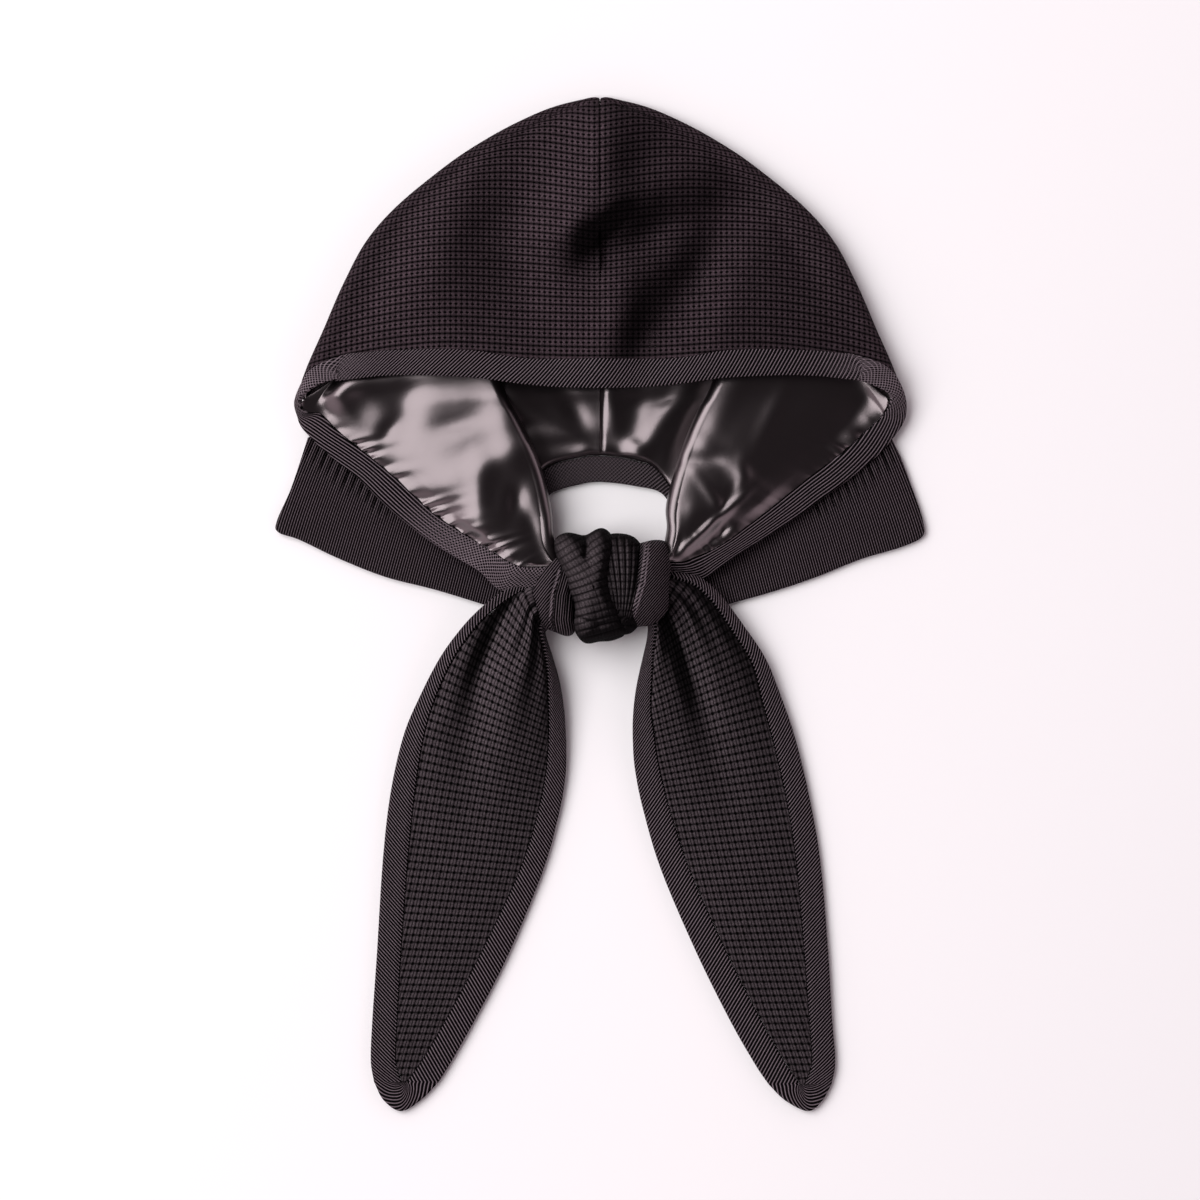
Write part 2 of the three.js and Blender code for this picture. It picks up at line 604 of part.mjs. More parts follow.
for (const { name, side, cheek, flap, tail, tip } of SIDES) {
  const panel = hoodHalf(side, KNIT / 2, 0, KNIT);
  const lining = hoodHalf(side, LINING_INSET, LINING_FIRST_ROW, SATIN);
  add(`hood_panel_${name}`, 'knit', cutAway(panel, neckHole()));
  add(`lining_${name}`, 'satin', cutAway(lining, neckHole()));
  const rowOnEdge = (row) => (side < 0 ? row : lastEdgeRow - row);
  add(`cheek_${name}`, 'satin', clearOf(cheekPanel(cheek, rowOnEdge), ...ALL_TURNS));
  add(`neck_flap_${name}`, 'ribbed', neckFlap(flap));
  add(`tail_${name}`, 'knit', clearOf(tailPanel(tail), ...ALL_TURNS));
  add(`tail_binding_${name}`, 'twill', clearOf(tailBinding(tail, tip), ...ALL_TURNS));
}
add('face_binding', 'twill', clearOf(faceBinding(), ...ALL_TURNS));
add('nape_binding', 'twill', napeBinding());
add('knot_wrap', 'knit', knotTurn(KNOT_WRAP));
add('knot_edge_left', 'twill', clearOf(knotTurn(KNOT_EDGE_LEFT), KNOT_WRAP));
add('knot_pleats_right', 'knit', clearOf(knotTurn(KNOT_PLEATS_RIGHT), KNOT_WRAP));
add('knot_edge_right', 'twill', clearOf(knotTurn(KNOT_EDGE_RIGHT), KNOT_WRAP, KNOT_PLEATS_RIGHT));

export default scarf;
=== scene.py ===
# %% [markdown]
# # A hooded scarf with knotted ties
#
# The scarf lies on its back on a table: a pointed hood of black waffle knit with a satin
# lining, a twill binding round the face, two satin cheeks that run down to a knot, a ribbed
# neck flap behind each cheek, and the two bound ends of the ties below the knot.
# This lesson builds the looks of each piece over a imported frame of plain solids. Cloth could
# be simulated, but this scarf has to lie in one given way, so every piece is a surface worked
# out with numpy from tables of sizes, in millimetres. Four of the tables, those of the folds,
# come almost wholly from a fitting program and weren't chosen by hand; each of them says so.

# %% Load the frame
import math
from types import SimpleNamespace

import bpy
import numpy as np
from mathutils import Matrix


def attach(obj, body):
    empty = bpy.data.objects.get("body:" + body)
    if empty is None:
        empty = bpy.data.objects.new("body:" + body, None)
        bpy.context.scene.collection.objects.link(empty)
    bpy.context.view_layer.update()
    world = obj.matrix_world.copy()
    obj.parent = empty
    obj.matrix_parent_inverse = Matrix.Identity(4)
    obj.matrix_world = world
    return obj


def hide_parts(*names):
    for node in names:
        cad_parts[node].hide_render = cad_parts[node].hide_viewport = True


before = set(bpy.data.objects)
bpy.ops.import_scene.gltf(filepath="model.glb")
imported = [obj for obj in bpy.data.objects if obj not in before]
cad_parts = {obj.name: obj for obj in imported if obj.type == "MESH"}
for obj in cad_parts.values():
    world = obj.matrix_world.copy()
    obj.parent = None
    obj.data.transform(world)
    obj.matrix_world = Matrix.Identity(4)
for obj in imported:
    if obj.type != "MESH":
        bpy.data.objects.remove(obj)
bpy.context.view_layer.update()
MM = 0.001


# %% [markdown]
# ## Curves through tables
#
# A maker writes a garment down as a few measures at a few places. A smooth curve through
# such a table could be a spline object, but a cubic worked out directly gives whole arrays
# of values at once, so the same few numbers serve a grid of any fineness.

# %% Curves through tables
def smooth(places, values):
    """Cubic through the values; its slope at each place is the mean of the two slopes beside it."""
    places, values = np.asarray(places, float), np.asarray(values, float)
    slopes = np.diff(values) / np.diff(places)
    tangents = (np.r_[slopes[0], slopes] + np.r_[slopes, slopes[-1]]) / 2

    def curve(place):
        """The cubic's value at a place or at a whole array of them."""
        place = np.asarray(place, float)
        i = np.clip(np.searchsorted(places, place) - 1, 0, len(places) - 2)
        step = places[i + 1] - places[i]
        f = (place - places[i]) / step
        g = 1 - f
        ends = (1 + 2 * f) * g * g * values[i] + (1 + 2 * g) * f * f * values[i + 1]
        return ends + step * f * g * (g * tangents[i] - f * tangents[i + 1])

    return curve


def table(places, names, rows):
    """One smooth function for each named column; without places the rows count up from 0."""
    places = range(len(rows)) if places is None else places
    columns = zip(names.split(), np.asarray(rows, float).T)
    return SimpleNamespace(**{name: smooth(places, column) for name, column in columns})


def mix(a, b, f):
    """The value that lies the fraction f of the way from a to b."""
    return a + (b - a) * f


def ease(value, low, high):
    """Rises from 0 at low to 1 at high along 3 f^2 - 2 f^3."""
    f = np.clip((value - low) / (high - low), 0, 1)
    return f * f * (3 - 2 * f)


def show(thing):
    """Puts an object into the scene and returns it."""
    bpy.context.scene.collection.objects.link(thing)
    return thing


def point(x, y, z):
    """Stacks three arrays, made the same shape, into points."""
    return np.stack(np.broadcast_arrays(x, y, z), axis=-1).astype(float)


# %% [markdown]
# ## Closed walls of cloth
#
# Cloth has two faces and a raw or folded edge. A Solidify modifier would copy the fine
# knitted face to the inside, where nobody looks, and double the triangles. Here a piece is
# gathered from patches instead: a fine outer grid and a coarse inner grid, zipped together
# along their edges into one closed body.

# %% The shell that gathers patches
class Shell:
    """Patches of points in millimetres with their pattern coordinates, and their triangles."""

    def __init__(self):
        self.points, self.pattern, self.triangles, self.size = [], [], [], 0

    def patch(self, points, u, v, ribs=0, mesh=0):
        """Adds a grid of points and returns its index grid. Its pattern coordinates are u, v in
        millimetres, the count of twill ribs crossed so far, and a last value that says how far
        twill turns to mesh or, on waffle knit, the painted light by its slope, below 0 painted shade."""
        shape = points.shape[:-1]
        pattern = np.stack([np.broadcast_to(value, shape) for value in (u, v, ribs, mesh)], axis=-1)
        index = self.size + np.arange(math.prod(shape)).reshape(shape)
        self.points.append(points.reshape(-1, 3))
        self.pattern.append(pattern.reshape(-1, 4))
        self.size += index.size
        return index

    def span(self, index, inner=False):
        """Covers an index grid with two triangles a cell, turned over for an inner face."""
        a, b, c, d = index[:-1, :-1], index[:-1, 1:], index[1:, 1:], index[1:, :-1]
        corners = [(a, c, b), (a, d, c)] if inner else [(a, b, c), (a, c, d)]
        for triangle in corners:
            self.triangles.append(np.stack(triangle, axis=-1).reshape(-1, 3))

    def zip(self, upper, at_upper, lower, at_lower):
        """Joins two rows of points of different fineness: each edge of the upper row meets the
        lower point nearest to its middle, and each lower edge the upper point between."""
        middles = (at_upper[:-1] + at_upper[1:]) / 2
        nearest = np.searchsorted((at_lower[:-1] + at_lower[1:]) / 2, middles)
        between = np.searchsorted(nearest, np.arange(len(lower) - 1), side="right")
        self.triangles.append(np.stack([upper[1:], upper[:-1], lower[nearest]], axis=-1))
        self.triangles.append(np.stack([lower[:-1], lower[1:], upper[between]], axis=-1))

    def close(self, outer, inner):
        """Zips the four edges of an outer index grid to those of an inner one."""
        edges = (lambda g: g[0], lambda g: g[:, -1], lambda g: g[-1, ::-1], lambda g: g[::-1, 0])
        for edge in edges:
            upper, lower = edge(outer), edge(inner)
            self.zip(upper, np.linspace(0, 1, len(upper)), lower, np.linspace(0, 1, len(lower)))

    def build(self, name, material):
        """Makes the object: doubles merged, empty triangles dropped, faces turned outward."""
        points = np.concatenate(self.points)
        pattern = np.concatenate(self.pattern)
        triangles = np.concatenate(self.triangles)
        rounded = np.round(points * FINENESS).astype(np.int64)
        _, first, merged = np.unique(rounded, axis=0, return_index=True, return_inverse=True)
        triangles = merged.ravel()[triangles]
        a, b, c = triangles.T
        triangles = triangles[(a != b) & (b != c) & (c != a)]
        used, triangles = np.unique(triangles, return_inverse=True)
        triangles = triangles.reshape(-1, 3)
        points, pattern = points[first[used]], pattern[first[used]]
        corners = points[triangles]
        crossed = np.cross(corners[:, 1], corners[:, 2])
        volume = np.einsum("ij,ij->i", corners[:, 0], crossed).sum() / 6
        if volume < 0:
            triangles = triangles[:, ::-1]
        mesh = bpy.data.meshes.new(name)
        mesh.vertices.add(len(points))
        mesh.vertices.foreach_set("co", (points * MM).ravel())
        mesh.loops.add(triangles.size)
        mesh.loops.foreach_set("vertex_index", triangles.ravel())
        mesh.polygons.add(len(triangles))
        mesh.polygons.foreach_set("loop_start", np.arange(0, triangles.size, 3))
        mesh.polygons.foreach_set("use_smooth", np.ones(len(triangles), bool))
        mesh.update(calc_edges=True)
        corner_pattern = pattern[triangles.ravel()]
        for layer, columns in (("cloth", slice(0, 2)), ("ribs", slice(2, 4))):
            values = corner_pattern[:, columns].ravel()
            mesh.uv_layers.new(name=layer).data.foreach_set("uv", values)
        mesh.set_sharp_from_angle(angle=math.radians(SHARP))
        mesh.validate()
        mesh.materials.append(material)
        made = show(bpy.data.objects.new(name, mesh))
        open_edges = len(mesh.edges) * 2 - len(mesh.loops)
        print(f"{name}: {len(triangles)} triangles,",
              f"volume {abs(volume) / 1000:.1f} cm3, open {open_edges}")
        return made


SHARP = 62  # degrees between two faces, past which the edge between them isn't smoothed
FINENESS = 1e4  # steps in a millimetre; points that round to the same step are one point


def unit(vectors):
    """Vectors divided by their lengths."""
    return vectors / np.maximum(np.linalg.norm(vectors, axis=-1, keepdims=True), 1e-9)


def normals(points):
    """Unit normals of a grid: its step along the columns crossed with its step down the rows."""
    return unit(np.cross(np.gradient(points, axis=1), np.gradient(points, axis=0)))


def wall(name, material, surface, relief, fine, coarse, thickness, side=None):
    """Closed cloth about a middle surface(s, t), which returns points and pattern coordinates.
    Each face stands half the thickness off it; the fine outer face lies on the normal's side,
    or on the upper side when none is given, and also stands off by relief(points, u, v, t).
    No point sinks below 0."""
    shell, faces = Shell(), []
    for (rows, columns), outer in ((fine, True), (coarse, False)):
        shares = np.linspace(0, 1, rows + 1), np.linspace(0, 1, columns + 1)
        s, t = np.meshgrid(*shares, indexing="ij")
        points, u, v = surface(s, t)
        normal = normals(points)
        normal = normal * (side or np.sign(normal[..., 2].sum()))
        stand = np.full(s.shape, thickness / 2 if outer else -thickness / 2)
        if outer:
            stand = stand + relief(points, u, v, t)
        points = points + normal * stand[..., None]
        points[..., 2] = np.maximum(points[..., 2], 0)
        faces.append(shell.patch(points, u, v))
    shell.span(faces[0])
    shell.span(faces[1], inner=True)
    shell.close(*faces)
    return shell.build(name, material)


def folds(x, y, rows):
    """Sum of soft ridges, each height * exp(-(along / length)^2 - (across / width)^2), where a
    row gives x, y, length, width, the angle that the ridge runs at in degrees, and height."""
    total = np.zeros(np.broadcast(x, y).shape)
    for at_x, at_y, length, width, angle, height in rows:
        along, across = turned(x - at_x, y - at_y, angle)
        total += height * np.exp(-((along / length) ** 2) - (across / width) ** 2)
    return total


def turned(x, y, angle):
    """Coordinates along and across a direction at an angle in degrees."""
    turn = np.radians(angle)
    return x * np.cos(turn) + y * np.sin(turn), y * np.cos(turn) - x * np.sin(turn)


# %% [markdown]
# ## The hood's outline
#
# Laid flat, the hood is a bag: a front layer, a fold down each side and a back layer. The fold
# could be cut as a sharp crease, but knit rolls over, so a half circle of cloth is carried
# along the outline. Its rim line is the outline moved inward by the roll's radius; the front
# layer ends on that line with a level tangent, and the roll starts there.

# %% Sizes of the hood
GAP = 0.3  # between neighbouring pieces
KNIT = 2.0  # wall of the hood
LINING_INSET = 3.0  # from the outer face of the hood to the middle of the satin
SEAM = 0.15  # half of the groove between the two halves
APEX_Y = 252.9
FRONT_END = 140  # place on the front layer where the roll begins
ROLL_PLACES = 12  # places counted round the roll
HEM_X = 48.5  # where the nape curve ends and the hem of the back begins
LOBE = [(SEAM, 252.2), (1.1, 252.9), (2.6, 253.1)]  # rounded top of each half beside the seam

HOOD = table([20, 60, 99, 115, 137, 160, 182, 197, 212, 227, 242, 249, APEX_Y], "half crown fold", [
    [150, 32, 14], [150, 32, 14], [152.3, 32, 14], [147.5, 31, 13.6], [138, 29, 13],
    [128, 26, 12.4], [116, 23, 11.6], [103, 20, 10.8], [85.5, 17, 10], [65, 14, 9],
    [38, 10.5, 7.6], [20.5, 7.5, 6], [4.5, 4.4, 4.4],
])
FOREHEAD = table([0, 20, 40, 60, 80, 100, 120, 140, 143, 146, 149, 152], "sewn free", [
    [121.7, 107], [121.3, 107.5], [121.8, 109.3], [125, 112], [126.4, 113.2],
    [126, 113.6], [124.9, 112], [119.4, 107], [115, 103.5], [109, 98],
    [102, 92], [98, 90],
])
BACK_EDGE = table([50, 64, 80, 100, 120, 135, 145], "y",
                  [[30], [31], [39], [55], [74], [88.5], [98]])
NAPE = table(None, "holeX holeY sewnX sewnY", [
    [-37, 27, -48.5, 28.5], [-31.5, 42, -41, 47.5], [-25, 54.5, -28, 66.7],
    [-10, 59.5, -10, 72.8], [1, 60.7, 1, 73.8], [18, 58.6, 18, 71.3],
    [31, 54.8, 29, 66.2], [38, 42, 41, 47.5], [41, 27, 48.5, 28.5],
])
NAPE_LAST = 8


def rim_line():
    """The outline from the seam over the lobe and down the side, moved inward along its normal by
    the roll's radius; returns the line's length, x, y, the outward normal and the radius."""
    y = np.linspace(APEX_Y, 20, 1400)
    x = np.r_[[p[0] for p in LOBE], HOOD.half(y)]
    y = np.r_[[p[1] for p in LOBE], y]
    normal = unit(np.stack([-np.gradient(y), np.gradient(x)], axis=-1))
    level = ease(x, 1.0, 9.0)[:, None]
    normal = unit(mix(np.array([0.0, 1.0]), normal, level))
    radius = HOOD.fold(np.minimum(y, APEX_Y)) / 2 * mix(0.75, 1, ease(x, 0, 6))
    rim_x = np.maximum.accumulate(np.maximum(x - radius * normal[:, 0], SEAM))
    rim_y = y - radius * normal[:, 1]
    length = np.r_[0, np.cumsum(np.hypot(np.diff(rim_x), np.diff(rim_y)) + 1e-6)]
    return length, rim_x, rim_y, normal, radius


RIM_LENGTH, RIM_X, RIM_Y, RIM_NORMAL, RIM_RADIUS = rim_line()
FALLING = slice(len(LOBE) + 12, None)  # past the lobe the rim line only falls


def rim(length):
    """Point, normal and radius of the roll at a length along the rim line."""
    values = (RIM_X, RIM_Y, RIM_NORMAL[:, 0], RIM_NORMAL[:, 1], RIM_RADIUS)
    return [np.interp(length, RIM_LENGTH, value) for value in values]


def rim_length_at(y):
    """Length along the rim line at which it has come down to y."""
    return np.interp(-np.asarray(y), -RIM_Y[FALLING], RIM_LENGTH[FALLING])


def rim_x_at(y):
    """How far out the rim line is at y."""
    return np.interp(-np.asarray(y), -RIM_Y[FALLING], RIM_X[FALLING])


print("rim line:", round(RIM_LENGTH[-1]), "mm, widest", round(RIM_X.max(), 1))


# %% [markdown]
# ## How the front layer lies
#
# The front layer arches over the empty hood and sags where nothing holds it: a crease runs
# down the seam from the point, a dimple lies below it, and a shallow valley leaves the dimple
# to one side. Arch and dents are a sum of simple functions of x and y, easy to move one by one.

# %% Height of the front layer
DENTS = [  # x, y, length, width, angle, height; mostly from a fitting program, then scaled
    [-1, 209, 53, 14, 58, 4.3],
    [-7, 211, 55, 13, 74, 4.3],
    [5, 209, 55, 12, 95, 3.5],
    [0, 196, 40, 10.5, 23, 8.5],
    [17, 179, 36, 9.6, 24, -6.7],
    [40, 152, 55, 15, 57, -9.2],
    [8, 136, 30, 10, 78, 3.4],
    [53, 169, 45, 10.5, 78, -1.8],
    [-37, 158, 55, 18.6, 105, -4.7],
    [-80, 157, 55, 18.5, 88, 4.3],
    [-84, 173, 55, 14, 61, 3.6],
    [-38, 193, 14, 34, -6, -3],
    [99, 183, 45, 24, -12, -3.8],
    [7, 187, 15, 6, 50, -2.2],
    [-14, 188, 18, 6, 84, 1.2],
]


def front_height(x, y):
    """The roll's depth, plus an arch (1 - out^2)^1.5 that is level where the roll starts, plus
    the dents and the narrow groove of the seam itself."""
    fold = HOOD.fold(np.minimum(y, APEX_Y))
    out = np.clip(np.abs(x) / rim_x_at(y), 0, 1)
    arch = (HOOD.crown(y) - fold) * (1 - out ** 2) ** 1.5
    seam = -mix(0.12, 0.9, ease(y, 190, 215)) * np.exp(-np.abs(x) / 0.9)
    fade = ease(APEX_Y - y, 0, 12) * ease(1 - out, 0, 0.15)
    return fold + arch + folds(x, y, DENTS) * fade + seam


def front_low():
    """The front layer's lower edge as x and y, from the seam out to the start of the roll."""
    place = np.linspace(0, FRONT_END, 281)
    y = FOREHEAD.sewn(place) + GAP
    return mix(SEAM, rim_x_at(y), place / FRONT_END), y


def back_low(x):
    """The back layer's lower edge at a signed x: the nape curve in the middle, then the hem."""
    row = np.linspace(0, NAPE_LAST, 161)
    nape = np.interp(x, NAPE.sewnX(row), NAPE.sewnY(row)) + GAP
    return np.where(np.abs(x) < HEM_X, nape, BACK_EDGE.y(np.maximum(np.abs(x), 50)))


def low_length(q, side):
    """Rim length at the lower edge. q runs 0 to 1 over the front, to 2 round the roll and to 3
    across the back to the seam."""
    front = FOREHEAD.sewn(np.minimum(q, 1) * FRONT_END) + GAP
    roll = FOREHEAD.sewn(FRONT_END + np.clip(q - 1, 0, 1) * ROLL_PLACES) + GAP
    back = back_low(side * mix(RIM_X.max(), SEAM, np.clip(q - 2, 0, 1)))
    return rim_length_at(np.where(q <= 1, front, np.where(q <= 2, roll, back)))


def layer(side, q, s, inset):
    """Point of the hood, inset from its outer face; s runs 0 to 1 from the apex to the edge."""
    rim_x, rim_y, normal_x, normal_y, radius = rim(s * low_length(q, side))
    front_x = mix(SEAM, rim_x, np.minimum(q, 1))
    front_z = front_height(side * front_x, rim_y) - inset
    turn = np.pi * np.clip(q - 1, 0, 1)
    out = np.maximum(radius - inset, 0.4)
    roll_x, roll_y = rim_x + normal_x * out * np.sin(turn), rim_y + normal_y * out * np.sin(turn)
    roll_z = radius + out * np.cos(turn)
    back_x = mix(rim_x, SEAM, np.clip(q - 2, 0, 1))
    x = np.where(q <= 1, front_x, np.where(q <= 2, roll_x, back_x))
    y = np.where((q > 1) & (q <= 2), roll_y, rim_y)
    z = np.where(q <= 1, front_z, np.where(q <= 2, roll_z, inset))
    return point(side * x, y, z)


# %% [markdown]
# ## The waffle knit
#
# The knit has a pit at every crossing of a column and a row, and a groove along every second
# row. It could be a bump alone, but its pits are half a millimetre deep and show against the
# light, so the front layer is a grid with six columns and four rows of points to each cell,
# set close together at the pits. The grid is regular in the knit's own coordinates, and each
# column of points is trimmed where it meets the outline or the forehead seam.

# %% Relief of the waffle knit
COLUMN, ROW = 2.75, 2.12  # one cell of the hood's knit
COLUMN_STEPS = np.array([0, 0.16, 0.33, 0.5, 0.67, 0.84])
ROW_STEPS = np.array([0, 0.2, 0.5, 0.8])
KNIT_Y = 100, 262  # the rows are laid between these heights and then trimmed


def ridge(phase, power):
    """Rounded ridges at whole numbers: the positive half of a cosine, raised to a power."""
    return np.clip(np.cos(2 * np.pi * phase), 0, 1) ** power


def dots(u, v):
    """Round spots at whole numbers: how far the sum of two cosines passes 1.05."""
    return np.clip((np.cos(2 * np.pi * u) + np.cos(2 * np.pi * v) - 1.05) / 0.7, 0, 1)


PAINTED_LIGHT_DIRECTION = np.array([-0.58, 0.21, 0.79])  # the key light's direction; slopes facing it get painted light, slopes turned away painted shade


def painted_light_by_slope(normal):
    """Painted light and painted shade by slope: how much more the normal points along the key
    light's direction than level cloth does, the normal's share along it less that of level cloth."""
    return normal @ PAINTED_LIGHT_DIRECTION - PAINTED_LIGHT_DIRECTION[2]


def hood_relief(u, v):
    """Minus the depth of pits and grooves."""
    groove = ridge(v / (2 * ROW), 6)
    return -(0.5 * dots(u / COLUMN, v / ROW) + 0.34 * groove)


def row_shift(x, y):
    """How far the knit's rows are drawn down or up at a point: down toward the crease of the
    seam, down at the rolled side, and up over the temples."""
    sag = -6.5 * np.exp(-(np.abs(x + 3) / 27) ** 1.5) * ease(y, 138, 192)
    side = -6 * np.clip(np.abs(x) / rim_x_at(y), 0, 1) ** 6
    temple = 3 * np.exp(-(((np.abs(x) - 78) / 42) ** 2)) * (1 - ease(y, 150, 205))
    return sag + side + temple


def cells(low, high, size, steps):
    """Positions from low to high with the same steps in every cell."""
    first, last = math.floor(low / size), math.ceil(high / size)
    return (np.arange(first, last)[:, None] + steps).ravel() * size


def trim(values, low, high, slack=0.08):
    """Trims the columns of a grid of ascending values to their limits: the values next to a limit
    are slid onto it. Returns the values, and for every cell the row that stands for it, which
    is the limit's own row for all rows beyond the limit, and both limits' rows."""
    rows = np.arange(len(values))[:, None]
    first = np.maximum((values < low + slack).sum(0) - 1, 0)
    last = np.clip((values < high - slack).sum(0), first, len(values) - 1)
    values = np.where(rows <= first, low, np.where(rows >= last, high, values))
    return values, np.clip(rows, first, last), first, last


# %% [markdown]
# ## The two halves of the hood
#
# Each half is one closed body: the trimmed front grid, the roll, a plain back layer, and a
# plain inner face. The patches have different fineness where they meet, so they are zipped.

# %% Build the hood
BACK_STARTS = 0.03  # the back layer's own grid begins this far in from the roll
ROLL_Q = np.linspace(1, 2, 13)  # rows of points round the roll


def waffle_hood(side, name, material):
    """One half of the hood, lower edge and seam edge closed against its inner face."""
    shell = Shell()
    low_x, low_y = front_low()
    columns = cells(0, low_x[-1], COLUMN, COLUMN_STEPS)
    columns = np.r_[SEAM, columns[(columns > SEAM + 0.3) & (columns < low_x[-1] - 0.1)], low_x[-1]]
    low = np.interp(columns, low_x, low_y)
    length = np.interp(columns, RIM_X, RIM_LENGTH)
    high = rim(length)[1]
    knit_rows = cells(*KNIT_Y, ROW, ROW_STEPS)[:, None]
    y = np.broadcast_to(knit_rows, (len(knit_rows), len(columns)))
    for _ in range(12):
        y = knit_rows + row_shift(side * columns, y)
    y, stand_in, first, last = trim(y, low, high)
    v = y - row_shift(side * columns, y)
    x = np.broadcast_to(columns, y.shape)
    base = point(side * x, y, front_height(side * x, y))
    reach = 0.05  # either way from a point, to measure the slope there
    rise_x, rise_y = (
        (front_height(side * (x + dx), y + dy) - front_height(side * (x - dx), y - dy)) / (2 * reach)
        for dx, dy in ((reach, 0), (0, reach)))
    normal = unit(point(-side * rise_x, -rise_y, 1.0))
    relief = hood_relief(x, v) * ease(x, SEAM, 1.4)
    # the last pattern value is painted light and painted shade by how each slope faces the key light
    front = shell.patch(base + normal * relief[..., None], x, v, 0, painted_light_by_slope(normal))
    at = np.arange(len(columns))
    used = front[stand_in, at]
    shell.span(used)
    front_chain, outline_chain = front[first, at], front[last, at]

    share = length / low_length(np.array(1.0), side)
    q = ROLL_Q[1:, None]
    roll_points = layer(side, q, share, 0)
    rim_x, rim_y, _, _, radius = rim(share * low_length(q, side))
    roll_u = rim_x + radius * np.pi * (q - 1)
    roll_v = roll_points[..., 1] - row_shift(side * rim_x, rim_y) + 6 * (q - 1)
    roll = shell.patch(roll_points, roll_u, roll_v)
    roll = np.vstack([outline_chain, roll])
    shell.span(roll)

    back_s = np.linspace(0, 1, 49)
    q = np.r_[2 + BACK_STARTS, np.linspace(2.08, 2.6, 10), np.linspace(2.63, 3, 22)][:, None]
    back_points = layer(side, q, back_s, 0)
    back_u = 2 * rim_x_at(back_points[..., 1]) + 20 - np.abs(back_points[..., 0])
    back = shell.patch(back_points, back_u, back_points[..., 1])
    shell.span(back)
    shell.zip(roll[-1, ::-1], 1 - share[::-1], back[0, ::-1], 1 - back_s[::-1])

    inner_q = np.r_[np.linspace(0, 1, 31), np.linspace(1, 2, 7)[1:], np.linspace(2, 3, 26)[1:]]
    inner_s = np.linspace(0, 1, 33)
    inner_points = layer(side, inner_q[:, None], inner_s, KNIT)
    inner = shell.patch(inner_points, inner_points[..., 0], inner_points[..., 1])
    shell.span(inner, inner=True)

    front_q = columns / columns[-1]
    edge = np.r_[front_chain, roll[1:, -1], back[:, -1]]
    shell.zip(edge, np.r_[front_q, ROLL_Q[1:], q[:, 0]], inner[:, -1], inner_q)
    seam_column = used[first[0]:last[0] + 1, 0]
    seam_y = y[first[0]:last[0] + 1, 0]
    seam_share = (high[0] - seam_y) / (high[0] - low[0])
    outer_seam = np.r_[back[-1, ::-1], roll[:0:-1, 0], seam_column[::-1]]
    outer_at = np.r_[1 - back_s[::-1], 1 + (2 - ROLL_Q[:0:-1]), 2 + seam_share[::-1]]
    inner_seam = np.r_[inner[-1, ::-1], inner[::-1, 0][1:], inner[0, 1:]]
    inner_at = np.r_[1 - inner_s[::-1], 1 + (3 - inner_q[::-1][1:]) / 3, 2 + inner_s[1:]]
    shell.zip(outer_seam, outer_at, inner_seam, inner_at)
    return shell.build(name, material)


# %% [markdown]
# ## The satin lining
#
# The lining follows the hood inside. Only its back layer shows, between the cheeks, where it is
# drawn into small folds by the nape seam and by the seam down the middle. Satin shows every
# change of slope as light or dark, so its folds are listed one by one, in a table that a
# fitting program made.

# %% Build the lining
SATIN = 1.0
LINING_LIFT = 2.1  # how far the seen part of the lining stands off the plain layer
LINING_STARTS = 0.15  # above this share of the hood the lining isn't seen and ends
LINING_FOLDS = [  # x, y, length, width, angle, height; from a fitting program
    [-44, 97, 40, 17.5, -76, 0.8],
    [48, 92, 32, 5.4, 65, -1.2],
    [40, 74, 24, 9.6, 65, -0.8],
    [-46, 108, 24, 12.2, -1, 0.6],
    [-47, 108, 26, 12.7, 83, 0.5],
    [-45, 108, 23, 11.7, 7, 0.6],
    [-46, 95, 25, 8.6, -68, 0.6],
    [32, 92, 28, 4.5, 56, 0.9],
    [-45, 105, 20, 10.9, -33, 0.5],
    [-44, 107, 17, 9.3, -1, 0.6],
    [-34, 95, 29, 4.6, -35, 0.7],
    [17, 92, 6, 13.9, -16, -1.1],
    [-45, 107, 18, 10, -10, 0.5],
    [-12, 95, 11, 5.2, -55, -1.5],
    [2, 106, 29, 3.2, 4, 0.8],
    [30, 102, 21, 4.1, 10, -0.8],
    [-6, 79, 27, 3.3, -30, 0.6],
    [9, 76, 14, 4.6, -46, -0.8],
    [-14, 80, 17, 3.2, 5, -0.8],
    [6, 96, 12, 3.8, -84, 0.7],
    [-37, 89, 14, 3.7, -2, -0.6],
    [-32, 76, 9, 4.1, -68, 0.8],
    [21, 78, 12, 4.7, 13, 0.5],
    [17, 78, 6, 3.9, -39, 1],
]


def lining_relief(points, u, v, t):
    """Height of the lining's folds, with the groove of the middle seam and small gathers along
    the nape; only on the back layer."""
    x, y = points[..., 0], points[..., 1]
    height = folds(x, y, LINING_FOLDS) + LINING_LIFT
    from_seam = np.abs(x - 1.5 - 0.04 * (y - 90))
    height = height - 0.7 * np.exp(-(from_seam / 0.8) ** 2)
    from_nape = y - back_low(x)
    gathers = 0.5 * np.sin(x / 2.6 + 1.4 * np.sin(x / 7))
    gathers = gathers * np.exp(-np.clip(from_nape, 0, None) / 3.0)
    near_edge = ease(from_nape, -0.5, 2.0)
    return (height * near_edge + gathers * near_edge) * ease(t, 0.36, 0.44)


def satin_lining(side, name, material):
    """Half of the lining; t spends most of its steps on the back layer, which is seen."""
    def surface(s, t):
        """The hood's own layer, inset, from LINING_STARTS down to the edge."""
        q = np.interp(t, [0, 0.2, 0.34, 0.45, 1], [0, 1, 2, 2.3, 3])
        points = layer(side, q, mix(LINING_STARTS, 1, s), LINING_INSET)
        return points, points[..., 0], points[..., 1]

    return wall(name, material, surface, lining_relief, (130, 170), (30, 40), SATIN, side)


